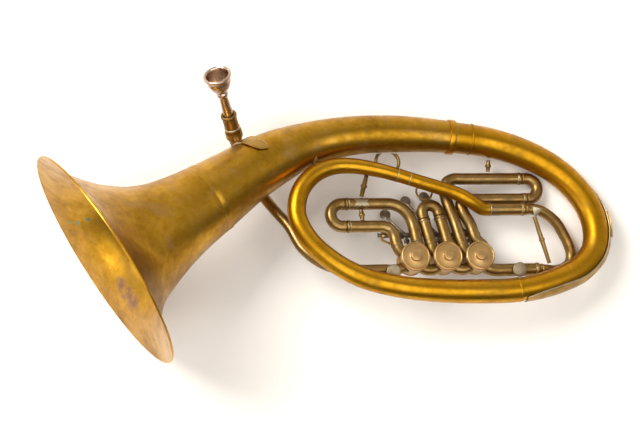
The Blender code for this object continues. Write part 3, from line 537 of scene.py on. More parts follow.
def swept(name, route, sides, capped):
    """A round bevel along a POLY curve, turned into a mesh."""
    curve = bpy.data.curves.new(name, "CURVE")
    curve.dimensions = "3D"
    curve.bevel_depth = MM
    curve.bevel_resolution = (sides * FINE - 4) // 2
    curve.use_fill_caps = capped
    spline = curve.splines.new("POLY")
    spline.points.add(len(route) - 1)
    for point, (u, v, w, radius) in zip(spline.points, route):
        point.co = (u * MM, v * MM, w * MM, 1.0)
        point.radius = radius
    mesh = meshed(name, curve)
    weld(mesh, closed=capped)
    return new_object(name, mesh)


def tube(name, route, wall, sides):
    """A hollow tube: its outer surface, with a Solidify that grows inwards."""
    obj = swept(name, route, sides, capped=False)
    sheet = obj.modifiers.new("wall", "SOLIDIFY")
    sheet.thickness = wall * MM
    sheet.offset = -1.0
    return freeze(obj)


def turned(name, profile, at, axis, steps):
    """A turned piece from (radius, height) points, which run down its outer side."""
    edges = [(i, i + 1) for i in range(len(profile) - 1)]
    if all(radius > 0 for radius, _ in profile):
        edges.append((len(profile) - 1, 0))
    mesh = bpy.data.meshes.new(name)
    mesh.from_pydata([(radius * MM, 0, height * MM) for radius, height in profile], edges, [])
    obj = new_object(name, mesh)
    screw = obj.modifiers.new("turn", "SCREW")
    screw.steps = steps * FINE
    screw.render_steps = steps * FINE
    screw.use_merge_vertices = True
    screw.merge_threshold = 1e-5
    freeze(obj)
    turn = Vector(axis).to_track_quat("Z", "Y").to_matrix().to_4x4()
    obj.data.transform(Matrix.Translation(Vector(at) * MM) @ turn)
    return obj


def cylinder(name, radius, start, end, steps=16):
    start, axis = Vector(start), Vector(end) - Vector(start)
    return turned(name, [(0, axis.length), (radius, axis.length), (radius, 0), (0, 0)], start, axis, steps)


def collar(name, outer, bore, start, end, steps=16):
    """A short thick tube round a straight stretch."""
    start, axis = Vector(start), Vector(end) - Vector(start)
    profile = [(outer, axis.length), (outer, 0), (bore, 0), (bore, axis.length)]
    return turned(name, profile, start, axis, steps)


def oblong(left, right, low, high):
    return [(left, low), (right, low), (right, high), (left, high)]


def plate(name, outline, thickness, at, across, up):
    """A flat plate: an outline in mm in the plane of across and up, grown both ways from it."""
    curve = bpy.data.curves.new(name, "CURVE")
    curve.dimensions = "2D"
    curve.fill_mode = "BOTH"
    curve.extrude = thickness / 2 * MM
    spline = curve.splines.new("POLY")
    spline.points.add(len(outline) - 1)
    for point, (x, y) in zip(spline.points, outline):
        point.co = (x * MM, y * MM, 0, 1)
    spline.use_cyclic_u = True
    mesh = meshed(name, curve)
    across, up = Vector(across).normalized(), Vector(up).normalized()
    turn = Matrix((across, up, across.cross(up))).transposed().to_4x4()
    mesh.transform(Matrix.Translation(Vector(at) * MM) @ turn)
    weld(mesh, closed=True)
    return new_object(name, mesh)


def saddle(name, route, path, sheet, lift, rows, columns=3):
    """Sheet metal bent over a tube. The path gives (distance along, angle from +w, half width) knots."""
    flattened = [(distance, math.radians(angle) * FLAT_RADIUS, 0, half) for distance, angle, half in path]
    line = flow(flattened, length_of(flattened) / rows)
    grid = []
    for i, (distance, bend, _, half) in enumerate(line):
        before, after = line[max(i - 1, 0)], line[min(i + 1, len(line) - 1)]
        course = Vector((after[0] - before[0], after[1] - before[1])).normalized()
        row = []
        for k in range(columns + 1):
            offset = half * (2 * k / columns - 1)
            angle = (bend + course.x * offset) / FLAT_RADIUS
            row.append(on_tube(route, distance - course.y * offset, angle, lift))
        grid.append(row)
    work = bmesh.new()
    verts = [[work.verts.new(point * MM) for point in row] for row in grid]
    for near, far in zip(verts, verts[1:]):
        for k in range(columns):
            work.faces.new((near[k], far[k], far[k + 1], near[k + 1]))
    mesh = bpy.data.meshes.new(name)
    work.to_mesh(mesh)
    work.free()
    obj = new_object(name, mesh)
    solid = obj.modifiers.new("sheet", "SOLIDIFY")
    solid.thickness = sheet * MM
    solid.offset = 1.0
    return freeze(obj)


def strut(name, start, end, radius):
    """A turned rod: a foot at each end, a slow swell, and a bead in the middle."""
    start, axis = Vector(start), Vector(end) - Vector(start)
    length, middle = axis.length, axis.length / 2
    foot = radius * 1.5
    radius *= STRUT_SWELL
    neck, bead = radius * 0.8, radius * 1.35
    profile = [
        (0, length), (foot, length), (neck, length - 1.2), (radius, middle + 1.6), (bead, middle + 0.6),
        (bead, middle - 0.6), (radius, middle - 1.6), (neck, 1.2), (foot, 0), (0, 0)]
    return turned(name, profile, start, axis, 8)


def wire_section(middle, height, wire, sides, deep=1.0):
    """A round wire as (radius, height) points, stretched deep times in height."""
    angles = [math.tau * k / sides for k in range(sides)]
    return [(middle + wire * math.cos(angle), height - wire * deep * math.sin(angle)) for angle in angles]


def crown(middle, height, reach, rise, last_deg):
    """A rounded edge as (radius, height) points, 15 degrees apart from its top."""
    angles = [math.radians(degrees) for degrees in range(0, last_deg + 1, 15)]
    return [(middle + reach * math.sin(angle), height + rise * math.cos(angle)) for angle in angles]


# ---------------------------------------------------------------- bell and bows

def half_round(name, route, distance, width, height, look, body="horn"):
    """A half-round band round a tube, at a distance along its route."""
    place, along, radius = station(route, distance)
    arc = [(radius + 0.05 + height * math.sin(math.pi * k / 8), width / 2 * math.cos(math.pi * k / 8))
           for k in range(9)]
    profile = arc + [(radius - 0.3, -width / 2), (radius - 0.3, width / 2)]
    add(turned(name, profile, place, along, 18), look, body)


def mouth_band(name, route, width, height):
    """A brass band at a tube's open end, with a pale line of solder behind it."""
    half_round(name, route, width / 2, width, height, "slide_brass")
    half_round(name + "_solder", route, width + 0.5, 0.9, height * 0.55, "nickel")


def build_rim():
    """The bell's edge, rolled round a wire."""
    place, along, radius = station(horn_section(BELL, 18), 0.0)
    wire = 1.2
    profile = wire_section(radius - wire * 0.9, 0.5, wire, 12)
    add(turned("bell_rim_wire", profile, place, along, 36), "bow_brass")


def build_bell():
    keep(tube("bell_flare", horn_section(BELL, 18), BELL_WALL, 24), "bell_brass")
    build_rim()
    half_round("bell_seam_band", horn_section(STEM, 30), 5.0, 9.0, 0.3, "bell_brass")
    keep(tube("bell_stem", horn_section(STEM, 30), BELL_WALL, 16), "bell_brass")
    end, along = Vector(STEM_KNOTS[-1][:3]), Vector((0.997, -0.07, 0))
    bore = STEM_KNOTS[-1][3] + GAP + 0.6
    ferrule = collar("bell_bow_ferrule", bore + 0.8, bore - 0.8, end - along * 6, end + along * 1.2)
    keep(softened(ferrule), "bow_brass")
    half_round("ferrule_seam", horn_section(BOTTOM_BOW, 22), 1.8, 1.1, 0.55, "nickel")


def build_bows():
    resting = [(u, v, w, radius - BOW_TRIM) for u, v, w, radius in horn_section(BOTTOM_BOW, 22)]
    keep(tube("bottom_bow", resting, TUBE_WALL, 12), "bow_brass")
    keep(tube("left_bow", horn_section(LEFT_BOW, 22), TUBE_WALL, SIDES), "bow_brass")
    keep(tube("valve_branch", horn_section(BRANCH, 14), TUBE_WALL, SIDES), "bow_brass")
    half_round("left_bow_band", horn_section(LEFT_BOW, 22), 2.2, 3.0, 0.25, "bow_brass")
    half_round("branch_band_left", horn_section(BRANCH, 14), 1.0, 0.9, 0.3, "nickel")
    half_round("branch_band_right", horn_section(BRANCH, 14), 16.0, 0.9, 0.3, "nickel")
    half_round("bottom_bow_band", horn_section(BOTTOM_BOW, 22), 22.0, 2.0, 0.3, "bow_brass")


def build_bow_guard():
    """A strip of sheet round the outside of the bottom bow, pointed at both ends."""
    route = horn_section(BOTTOM_BOW, 22)
    length = length_of(route)
    path = [
        (172, 96, 0.6), (190, 92, 7), (225, 86, 11), (270, 84, 11), (length - 12, 84, 9), (length - 4, 84, 7)]
    keep(saddle("bow_guard", route, path, 0.7, lift=0.4, rows=24), "guard_brass")
    for name, side in (("guard_bead_front", -1), ("guard_bead_back", 1)):
        line = [(*on_tube(route, distance, math.radians(angle) + side * half / radius, 0.9), 0.8)
                for distance, angle, half, radius in along_saddle(route, path)]
        add(swept(name, line, 4, capped=True), "nickel")
    bump_path = [(202, 80, 5.0), (214, 79, 6.5), (226, 80, 5.0)]
    add(saddle("guard_bump", route, bump_path, 2.4, lift=1.0, rows=6), "guard_brass")


def along_saddle(route, path):
    """Distance along, angle, half width and the tube's radius, a few mm apart along a saddle's path."""
    fine = flow([(distance, angle, 0, half) for distance, angle, half in path], 12)
    return [(distance, angle, half, station(route, distance)[2]) for distance, angle, _, half in fine]


# ---------------------------------------------------------------- main tuning slide

def build_tuning_slide():
    low, high = UPPER_SLEEVE
    sleeve = collar("tuning_sleeve_upper", SLEEVE_RADIUS, SLEEVE_BORE, (low + SEAM, UPPER_V, UPPER_W),
                    (high, UPPER_V, UPPER_W), 12)
    keep(sleeve, "slide_brass")
    band = [(high, UPPER_V, UPPER_W, SLEEVE_RADIUS), (low, UPPER_V, UPPER_W, SLEEVE_RADIUS)]
    mouth_band("upper_sleeve_mouth", band, 3.6, 0.7)
    half_round("upper_sleeve_root", band[::-1], 1.0, 1.2, 0.5, "nickel")
    leg, back = INNER_LEG_ENDS
    route = [(leg, UPPER_V, UPPER_W)] + flow(CROOK_KNOTS, 14) + [(back, LOWER_V, VALVE_W)]
    keep(tube("tuning_slide", sized(route, SLIDE_RADIUS), TUBE_WALL, 12), "slide_brass")
    crook = sized(flow(CROOK_KNOTS, 14), SLIDE_RADIUS)
    for name, distance in (("crook_band_upper", 1.8), ("crook_band_lower", length_of(crook) - 2.0)):
        half_round(name, crook, distance, 2.4, 0.6, "slide_brass", "main_tuning_slide")
    brace = strut("tuning_slide_brace", (257.4, -4.4, -6.8), (273.4, -58.7, -17.0), 1.6)
    keep(brace, "slide_brass")
    foot = plate("foot", [(-6.0, -4.0), (6.0, -4.0), (1.2, 7.0), (-1.2, 7.0)], 0.9, (258.5, 0.4, -0.2),
                 (1.0, -0.2, -0.08), (-0.2, -1.0, -0.5))
    foot.name = "crook_brace_flange"
    add(softened(foot), "nickel", "main_tuning_slide")
    lower = flow([(191.5, -60.0, VALVE_W), (197.0, -64.0, VALVE_W), (205.0, -66.4, VALVE_W),
                  (212.0, LOWER_V, VALVE_W)], 5)
    route = sized(lower + [(LOWER_SLEEVE_END, LOWER_V, VALVE_W)], SLEEVE_RADIUS - 0.1)
    obj = tube("tuning_sleeve_lower", route, SLEEVE_RADIUS - 0.1 - SLEEVE_BORE, 12)
    keep(cut(obj, casing_clearance(2)), "slide_brass")
    mouth_band("lower_sleeve_mouth", route[::-1], 3.6, 0.7)


# ---------------------------------------------------------------- valves

def valve_centre(valve, w=VALVE_W):
    return Vector((VALVE_U[valve], VALVE_V, w))


def heading(angle_deg):
    return Vector((math.cos(math.radians(angle_deg)), math.sin(math.radians(angle_deg)), 0))


def casing_clearance(valve):
    """What a tube is cut back by, so that it ends just short of the casing."""
    foot, top = valve_centre(valve, -40), valve_centre(valve, 12)
    return cylinder("clearance", CASING_RADIUS + GAP + 0.2, foot, top, 20)


def build_valve(valve):
    number = "_%d" % (valve + 1)
    casing = collar("valve_casing" + number, CASING_RADIUS, CASING_BORE, valve_centre(valve, CASING_FOOT),
                    valve_centre(valve, CASING_TOP), 18)
    centre = valve_centre(valve)
    ports = [cylinder("port", PORT_RADIUS, centre + heading(angle) * 8, centre + heading(angle) * 20, 8)
             for angle in PORTS_DEG]
    keep(cut(casing, *ports), "valve_brass")
    rim = sized([valve_centre(valve, CASING_FOOT + 2.2), valve_centre(valve, CASING_FOOT)], CASING_RADIUS)
    half_round("casing_bead" + number, rim, 1.1, 2.0, 0.7, "valve_brass")

    rotor = turned("rotor" + number, [
        (0, ROTOR_TOP), (ROTOR_RADIUS, ROTOR_TOP), (ROTOR_RADIUS, ROTOR_FOOT), (SPINDLE_RADIUS, ROTOR_FOOT),
        (SPINDLE_RADIUS, SPINDLE_FOOT), (0, SPINDLE_FOOT)], valve_centre(valve, 0), (0, 0, 1), 20)
    sides = [centre + Vector((0, CHANNEL_OFFSET * side, 0)) for side in (-1, 1)]
    half = Vector((0, 0, CHANNEL_HALF))
    bites = [cylinder("bite", CHANNEL_RADIUS, at - half, at + half, 12) for at in sides]
    keep(cut(rotor, *bites), "valve_brass")

    under, top = CASING_TOP + GAP, CASING_TOP + 3.0
    skirt = under - CAP_SKIRT
    cap = turned("valve_cap" + number, [
        (0, top + 3.4), (4.9, top + 3.3), (5.9, top + 2.9), (6.3, top + 2.1), (6.3, top - 0.1),
        (6.7, top - 0.4), (14.3, top - 0.4), (14.6, top - 0.7), (14.9, top - 0.4), (15.4, top),
        (16.2, top - 0.1), (16.9, top - 0.8), (CAP_RADIUS, top - 1.6), (16.5, top - 2.0),
        (CAP_RADIUS, top - 2.4), (CAP_RADIUS, skirt + 0.4), (16.7, skirt), (CASING_RADIUS + GAP, skirt),
        (CASING_RADIUS + GAP, under), (0, under)], valve_centre(valve, 0), (0, 0, 1), 18)
    keep(cap, "valve_brass")
    build_bearing_plate(valve)
    build_stop_arm(valve)


def build_bearing_plate(valve):
    """The back plate that the spindle turns in, with the two corks that stop the arm."""
    high, low = CASING_FOOT - GAP, CASING_FOOT - GAP - PLATE_THICK
    back = turned("back", [(PLATE_RADIUS, high), (PLATE_RADIUS, low), (SPINDLE_RADIUS + GAP, low),
                           (SPINDLE_RADIUS + GAP, high)], valve_centre(valve, 0), (0, 0, 1), 20)
    corks = [cylinder("cork", 1.8, valve_centre(valve, low - 5.2) + heading(angle) * CORK_ORBIT,
                      valve_centre(valve, low + 0.8) + heading(angle) * CORK_ORBIT, 8) for angle in CORKS_DEG]
    keep(joined("bearing_plate_%d" % (valve + 1), [softened(back)] + corks), "valve_brass")
    for name, angle in zip(("cork_first_%d", "cork_last_%d"), CORKS_DEG):
        at = valve_centre(valve) + heading(angle) * CORK_ORBIT
        tip = collar("tip", 2.1, 1.85, (at.x, at.y, low - 5.0), (at.x, at.y, low - 2.2), 8)
        tip.name = name % (valve + 1)
        add(softened(tip), "cork")


def build_stop_arm(valve):
    """A keyhole plate on the spindle: the link's pin at one end, the tongue that meets the corks."""
    high = SPINDLE_FOOT - GAP
    thick = 2.6
    across, up = heading(PIN_REST_DEG - 90), heading(PIN_REST_DEG)
    middle = valve_centre(valve, high - thick / 2)
    hub = cylinder("hub", 4.6, valve_centre(valve, high - thick), valve_centre(valve, high))
    tongue = plate("tongue", oblong(-1.4, 1.4, -10.0, 0), thick - 0.3, middle, across, up)
    rise = Vector((0, 0, thick / 2 - 0.2))
    lobe = cylinder("lobe", 2.4, middle + up * PIN_ORBIT - rise, middle + up * PIN_ORBIT + rise, 10)
    pin_at = valve_centre(valve, 0) + up * PIN_ORBIT
    pin_foot, pin_top = Vector((0, 0, TAIL_W - 2.0)), Vector((0, 0, high - 0.9))
    pin = cylinder("pin", PIN_RADIUS, pin_at + pin_foot, pin_at + pin_top, 8)
    keep(joined("stop_arm_%d" % (valve + 1), [hub, tongue, lobe, pin]), "steel")
    build_screw("arm_screw_%d" % (valve + 1), valve_centre(valve, high - thick), (0, 0, -1), 2.6,
                "rotor_%d" % (valve + 1))


def build_screw(name, at, outward, radius, body):
    """A domed screw head with a slot."""
    at, outward = Vector(at), Vector(outward).normalized()
    dome = crown(0, 0.4, radius, 0.9, 90)
    head = turned("head", dome + [(radius, -0.2), (0, -0.2)], at, outward, 8)
    across = outward.orthogonal().normalized()
    slit = plate("slit", oblong(-radius * 1.2, radius * 1.2, 0.75, 2.0), 0.6, at, across, outward)
    head = cut(head, slit)
    head.name = name
    add(head, "steel", body)


def build_knuckle(valve):
    """The short bent tube between the lower ports of two neighbouring valves."""
    left, right = VALVE_U[valve], VALVE_U[valve + 1]
    route = flow([(left + 8, -60.5, VALVE_W), (left + 13, -64.0, VALVE_W), (right - 13, -64.0, VALVE_W),
                  (right - 8, -60.5, VALVE_W)], 5)
    obj = tube("knuckle_%d_%d" % (valve + 1, valve + 2), sized(route, 6.5), TUBE_WALL, SIDES)
    keep(cut(obj, casing_clearance(valve), casing_clearance(valve + 1)), "slide_brass")


# ---------------------------------------------------------------- valve slides

def flat(points):
    return [(u, v, VALVE_W) for u, v in points]


def valve_tube(name, knots, mouth, valve):
    """An outer tube: bent from the casing's port, then straight to the mouth."""
    route = sized(flow(flat(knots), 11) + flat([mouth]), TUBE_RADIUS)
    obj = tube(name, route, TUBE_RADIUS - TUBE_BORE, SIDES)
    keep(cut(obj, casing_clearance(valve)), "slide_brass")
    mouth_band(name + "_mouth", route[::-1], 3.4, 0.6)
    half_round(name + "_root", route, 15.5, 2.4, 0.45, "slide_brass")


def valve_slide(name, starts, mouths, along, ends):
    """A crook as wide as the outer tubes, with a leg into each of them. The ends are where the U begins."""
    along = Vector((*along, 0)).normalized()
    turn = u_turn(*flat(ends), along)
    first, last = [Vector(point) for point in flat(mouths)]
    bow = sized([first + along * (GAP + 0.8)] + turn + [last + along * (GAP + 0.8)], TUBE_RADIUS)
    legs = [sized([Vector(inner), mouth + along * GAP], LEG_RADIUS)
            for inner, mouth in zip(flat(starts), (first, last))]
    route = legs[0] + bow + legs[1][::-1]
    keep(tube(name, route, 0.5, SIDES), "slide_brass")
    body = BODY_OF[name]
    half_round(name + "_band_first", bow, 1.4, 2.0, 0.25, "slide_brass", body)
    half_round(name + "_band_last", bow[::-1], 1.4, 2.0, 0.25, "slide_brass", body)


def port_knots(valve, angle):
    """Where a tube leaves a port: two knots along the port's own direction."""
    points = [valve_centre(valve) + heading(angle) * distance for distance in PORT_KNOTS_AT]
    return [(point.x, point.y) for point in points]


def build_slide_1():
    upper, lower, mouth = SLIDE1_UPPER_V, SLIDE1_LOWER_V, SLIDE1_MOUTH
    valve_tube("slide_1_tube_upper", port_knots(0, PORTS_DEG[0]) + [
        (114.6, -30.0), (112.6, -16.0), (108.6, -2.0), (100.5, 8.6), (90.0, 13.8),
        (79.4, upper)], (mouth, upper), 0)
    valve_tube("slide_1_tube_lower", port_knots(0, PORTS_DEG[1]) + [
        (90.2, -34.0), (88.0, -22.5), (83.4, -15.3), (76.0, lower)], (mouth, lower), 0)
    half = [
        (-9.5, -5.5), (-3.0, -2.6), (-6.5, -6.8), (0.0, -3.4), (6.5, -6.8), (3.0, -2.6), (9.5, -5.5),
        (6.0, 0.0)]
    star = half + [(-u, -v) for u, v in half]
    wrapped_plate("slide_1_flange", star, (51.7, upper, VALVE_W), TUBE_RADIUS + 0.05)
    radius = (upper - lower) / 2
    valve_slide("valve_slide_1", [(72.0, upper), (72.0, lower)], [(mouth, upper), (mouth, lower)], (-1, 0),
                [(15.4 + radius, upper), (15.4 + radius, lower)])


def wrapped_plate(name, outline, centre, radius):
    """A sheet metal shape soldered round the front of a tube that runs along u."""
    obj = plate(name, outline, 0.5, (0, 0, 0), (1, 0, 0), (0, 1, 0))
    work = bmesh.new()
    work.from_mesh(obj.data)
    for _ in range(3):
        bmesh.ops.subdivide_edges(work, edges=work.edges, cuts=1, use_grid_fill=True)
    bmesh.ops.triangulate(work, faces=work.faces)
    for vert in work.verts:
        along, round_it, out = vert.co / MM
        angle, reach = round_it / radius, radius + 0.25 + out
        vert.co = (Vector(centre) + Vector((along, reach * math.sin(angle), reach * math.cos(angle)))) * MM
    work.to_mesh(obj.data)
    work.free()
    add(obj, "nickel")


def build_slide_2():
    along = heading(SLIDE2_LEAN_DEG).xy
    left, right = Vector(SLIDE2_LEFT), Vector(SLIDE2_RIGHT)
    across = (right - left) - along * (right - left).dot(along)
    valve_tube("slide_2_tube_left", port_knots(1, PORTS_DEG[1]) + [
        tuple(left - along * 34), tuple(left - along * 27)], tuple(left), 1)
    valve_tube("slide_2_tube_right", port_knots(1, PORTS_DEG[0]) + [
        tuple(left + across - along * 33), tuple(left + across - along * 24)], tuple(left + across), 1)
    ends = [left + along * 5.6, left + along * 5.6 + across]
    starts = [left - along * 24, left + across - along * 22]
    valve_slide("valve_slide_2", starts, [left, left + across], along, ends)


def build_slide_3():
    upper, lower = SLIDE3_UPPER_V, SLIDE3_LOWER_V
    upper_mouth, lower_mouth = SLIDE3_MOUTHS
    valve_tube("slide_3_tube_upper", port_knots(2, PORTS_DEG[1]) + [
        (168.0, -33.0), (161.6, -6.0), (155.6, 15.0), (153.6, 29.0), (157.0, 40.0), (166.0, upper),
        (176.0, upper)], (upper_mouth, upper), 2)
    valve_tube("slide_3_tube_lower", port_knots(2, PORTS_DEG[0]) + [
        (186.8, -31.0), (180.6, -11.5), (172.8, 6.0), (171.6, 13.5), (176.8, 18.4), (187.0, lower)],
        (lower_mouth, lower), 2)
    radius = (upper - lower) / 2
    mouths = [(upper_mouth, upper), (lower_mouth, lower)]
    valve_slide("valve_slide_3", [(214.0, upper), (214.0, lower)], mouths, (1, 0),
                [(267.5 - radius, upper), (267.5 - radius, lower)])


# ---------------------------------------------------------------- leadpipe and mouthpiece

def below_rim(distance):
    return RIM_CENTRE - MOUTH_AXIS * distance


def build_leadpipe():
    start = [tuple(below_rim(RECEIVER_FOOT + GAP)), tuple(below_rim(RECEIVER_FOOT + 8))]
    obj = tube("leadpipe", sized(flow(start + LEADPIPE_KNOTS, 22), LEADPIPE_RADIUS), TUBE_WALL, SIDES)
    keep(cut(obj, casing_clearance(0)), "slide_brass")


def build_receiver():
    """A tapering socket for the mouthpiece, open through into the leadpipe."""
    profile = [
        (8.3, -RECEIVER_TOP), (8.3, -RECEIVER_TOP - 22), (7.2, -RECEIVER_FOOT), (5.0, -RECEIVER_FOOT),
        (5.2, -RECEIVER_TOP - 24), (6.6, -RECEIVER_TOP)]
    keep(softened(turned("mouthpiece_receiver", profile, RIM_CENTRE, MOUTH_AXIS, 14)), "slide_brass")
    line = sized([below_rim(RECEIVER_TOP), below_rim(RECEIVER_TOP + 22), below_rim(RECEIVER_FOOT)], 8.3)
    half_round("receiver_mouth_band", line, 2.2, 4.4, 0.9, "slide_brass")
    half_round("receiver_waist_band", line, 20.0, 2.6, 0.7, "nickel")


def build_mouthpiece():
    """Rim, cup, throat and shank, turned in one piece and pushed into the receiver."""
    foot = -MOUTHPIECE_LENGTH
    profile = crown(14.2, -1.9, 1.8, 1.8, 120) + [
        (15.2, -4.6), (14.0, -5.8), (13.3, -6.6), (13.2, -8.0), (13.5, -8.8), (13.5, -11.6), (13.1, -12.6),
        (12.4, -14.4), (11.4, -17.2), (9.6, -20.2), (7.6, -22.4), (6.0, -23.6), (5.4, -24.6), (5.6, -25.4),
        (6.4, -26.2), (6.8, -27.6), (6.6, -29.2), (5.8, -30.4), (5.2, -31.6), (5.0, -34.0), (5.2, -40.0),
        (5.7, -50.0), (6.0, -RECEIVER_TOP), (4.8, foot), (3.6, foot), (2.3, -27.0), (2.4, -23.0),
        (3.6, -21.0), (6.0, -18.6), (8.4, -15.6), (10.4, -11.4), (11.6, -7.0), (12.2, -3.4),
        (12.5, -1.8), (13.2, -0.6)]
    keep(turned("mouthpiece", profile, RIM_CENTRE, MOUTH_AXIS, 14), "silver")


def build_receiver_brace():
    """A band round the receiver, carried by a leaf-shaped foot bent over the bell tube."""
    band = collar("band", 9.8, 8.3 + GAP, below_rim(91), below_rim(83))
    route, path = horn_section(STEM, 30), [(66, 86, 2.5), (73, 60, 6.5), (80, 34, 6.0), (86, 12, 0.8)]
    leaf = saddle("leaf", route, path, 1.2, lift=1.3, rows=9)
    for name, side in (("leaf_solder_upper", -1), ("leaf_solder_lower", 1)):
        line = [(*on_tube(route, distance + side * half, math.radians(angle), 0.9), 0.7)
                for distance, angle, half, _ in along_saddle(route, path)]
        add(swept(name, line, 4, capped=True), "nickel")
    foot = on_tube(horn_section(STEM, 30), 68, math.radians(80), 3.0)
    side = (foot - below_rim(87)).normalized()
    web = swept("web", [(*(below_rim(87) + side * 9.0), 2.6), (*foot, 2.0)], 6, capped=True)
    keep(joined("receiver_brace", [leaf, web, band]), "guard_brass")


# ---------------------------------------------------------------- levers

def build_rod_and_bridge():
    """The hinge rod, and the bar on the casings whose eyes carry it."""
    low, high = ROD_ENDS
    keep(cylinder("hinge_rod", ROD_RADIUS, (low, ROD_V, ROD_W), (high, ROD_V, ROD_W), 12), "steel")
    build_screw("rod_screw_left", (low, ROD_V, ROD_W), (-1, 0, 0), 2.8, "horn")
    build_screw("rod_screw_right", (high, ROD_V, ROD_W), (1, 0, 0), 2.8, "horn")
    bar = plate("bar", [(76.0, -20.5), (76.0, -25.6), (97.0, -36.6), (193.0, -36.6), (193.0, -33.4),
                        (98.0, -33.4), (78.6, -25.0), (78.6, -20.5)],
                3.0, (0, 0, ROD_W - 1.5), (1, 0, 0), (0, 1, 0))
    pieces = [bar, cylinder("eye", 4.0, (76.0, ROD_V, ROD_W), (78.6, ROD_V, ROD_W), 10)]
    for u in (130.0, 163.0, 191.0):
        arm = plate("arm", oblong(-35.0, ROD_V, -2.2, 2.2), 2.4, (u, 0, ROD_W - 0.8), (0, 1, 0), (0, 0, 1))
        pieces += [arm, cylinder("eye", 4.0, (u - 1.4, ROD_V, ROD_W), (u + 1.4, ROD_V, ROD_W), 10)]
    bridge = joined("lever_bridge", pieces)
    keep(cut(bridge, cylinder("hole", HUB_BORE, (60, ROD_V, ROD_W), (215, ROD_V, ROD_W), 8)), "valve_brass")


def build_lever(valve):
    """A hub on the rod, an arm to the finger plate, and a tail down to the link."""
    low, high = HUBS[valve]
    hub = cylinder("hub", HUB_RADIUS, (low, ROD_V, ROD_W), (high, ROD_V, ROD_W), 12)
    finger = Vector(FINGERS[valve])
    root = Vector((VALVE_U[valve] - 1.0, ROD_V + 0.6, ROD_W - 1.6))
    knee = root.lerp(finger, 0.42) + Vector((0, 0, -3.0))
    tip = finger + Vector((0, -1, -0.6))
    arm = swept("arm", flow(sized([root, knee, tip], 1.6), 14), 6, capped=True)
    top = [(FINGER_RADIUS * k / 6, 1.2 - 0.9 * (k / 6) ** 2) for k in range(6)]
    pad = turned("pad", top + [(FINGER_RADIUS - 0.1, 0.3), (FINGER_RADIUS, 0.0), (FINGER_RADIUS - 0.1, -0.5),
                               (4.5, -1.0), (0, -1.2)], finger, (0, 0, 1), 12)
    half = math.radians(LEVER_TURN_DEG / 2)
    down, over = Vector((0, -math.sin(half), -math.cos(half))), Vector((0, math.cos(half), -math.sin(half)))
    u = VALVE_U[valve] + LINK_SHIFT
    tail = plate("tail", [(-2.0, -0.5), (2.0, -0.5), (1.8, TAIL + 1.8), (-1.8, TAIL + 1.8)], 1.8,
                 (u - 3.1, ROD_V, ROD_W), over, down)
    pin = cylinder("pin", 1.0, (u - 3.4, TAIL_V, TAIL_W), (u + 2.2, TAIL_V, TAIL_W), 8)
    lever = joined("lever_%d" % (valve + 1), [hub, arm, pad, tail, pin])
    cut(lever, cylinder("bore", HUB_BORE, (low - 2, ROD_V, ROD_W), (high + 2, ROD_V, ROD_W), 12))
    keep(lever, "steel")


def build_link(valve):
    """A flat link from the lever's tail to the stop arm's pin, with an eye at each end."""
    u = VALVE_U[valve] + LINK_SHIFT
    pin_v = VALVE_V + PIN_ORBIT * math.sin(math.radians(PIN_REST_DEG))
    outline = oblong(-1.5, 1.5, pin_v + 2.8, TAIL_V - 1.4)
    bar = plate("bar", outline, 1.8, (u, 0, TAIL_W), (1, 0, 0), (0, 1, 0))
    eye = collar("eye", 3.6, 2.2, (u, pin_v, TAIL_W - 0.8), (u, pin_v, TAIL_W + 0.8), 14)
    head = collar("head", 2.5, 1.35, (u - 1.6, TAIL_V, TAIL_W), (u + 1.6, TAIL_V, TAIL_W), 10)
    keep(joined("link_%d" % (valve + 1), [bar, eye, head]), "steel")


def build_spring(valve):
    """A coil round the rod beside the lever's hub."""
    first = SPRINGS_FROM[valve]
    turns, per_turn, pitch, radius, wire = 4, 24, 1.5, 4.0, 0.5
    route = []
    for k in range(turns * per_turn + 1):
        angle = math.tau * k / per_turn
        v, w = ROD_V + radius * math.cos(angle), ROD_W + radius * math.sin(angle)
        route.append((first + pitch * k / per_turn, v, w, wire))
    keep(swept("lever_spring_%d" % (valve + 1), route, 4, capped=True), "steel")


# ---------------------------------------------------------------- rings, braces and discs

def ring(name, centre, radius, wire, sides, deep=1.0):
    """A closed ring square to w, its section stretched deep times along w."""
    return turned(name, wire_section(radius, 0, wire, sides, deep), centre, (0, 0, 1), 16)


def build_rings():
    """A thumb ring under the bell tube, and the pull ring of the second valve's slide."""
    thumb = ring("thumb_ring", (86.0, 63.5, -8.0), 13.6, 1.9, sides=16, deep=1.3)
    shadow = sized(flow([(40, 92.5, 0), (86, 94.9, 0), (130, 93.9, 0)], 30), 22.2 + GAP)
    keep(cut(thumb, swept("bell_tube", shadow, 16, capped=True)), "slide_brass")
    keep(ring("pull_ring", (128.7, 28.8, VALVE_W), 9.4, 1.2, sides=12), "slide_brass")


def build_braces():
    keep(strut("branch_slide_brace", (55.6, 41.5, 7.0), (52.2, 22.6, -9.8), 1.7), "slide_brass")
    keep(strut("slide_1_brace", (51.5, SLIDE1_UPPER_V - TUBE_RADIUS - GAP, VALVE_W),
               (52.5, SLIDE1_LOWER_V + TUBE_RADIUS + GAP, VALVE_W), 1.6), "slide_brass")
    keep(strut("bell_slide_brace", (208.5, 65.0, -7.0), (208.3, 52.4, -12.5), 1.6), "slide_brass")
    post = [(0, 2.4), (2.8, 2.4), (2.0, 1.8), (2.0, 0.6), (3.0, 0), (0, 0)]
    flange = plate("flange", [(-5.0, -3.0), (5.0, -3.0), (0.6, 8.0), (-0.6, 8.0)], 0.8, (-2.6, 57.6, 10.6),
                   (0.97, 0.24, 0.0), (-0.12, 0.48, 0.87))
    flange.name = "bell_bow_flange"
    add(softened(flange), "nickel")
    keep(turned("bell_bow_brace", post, (-3.0, 54.9, 8.6), (-0.15, 0.95, -0.27), 10), "nickel")


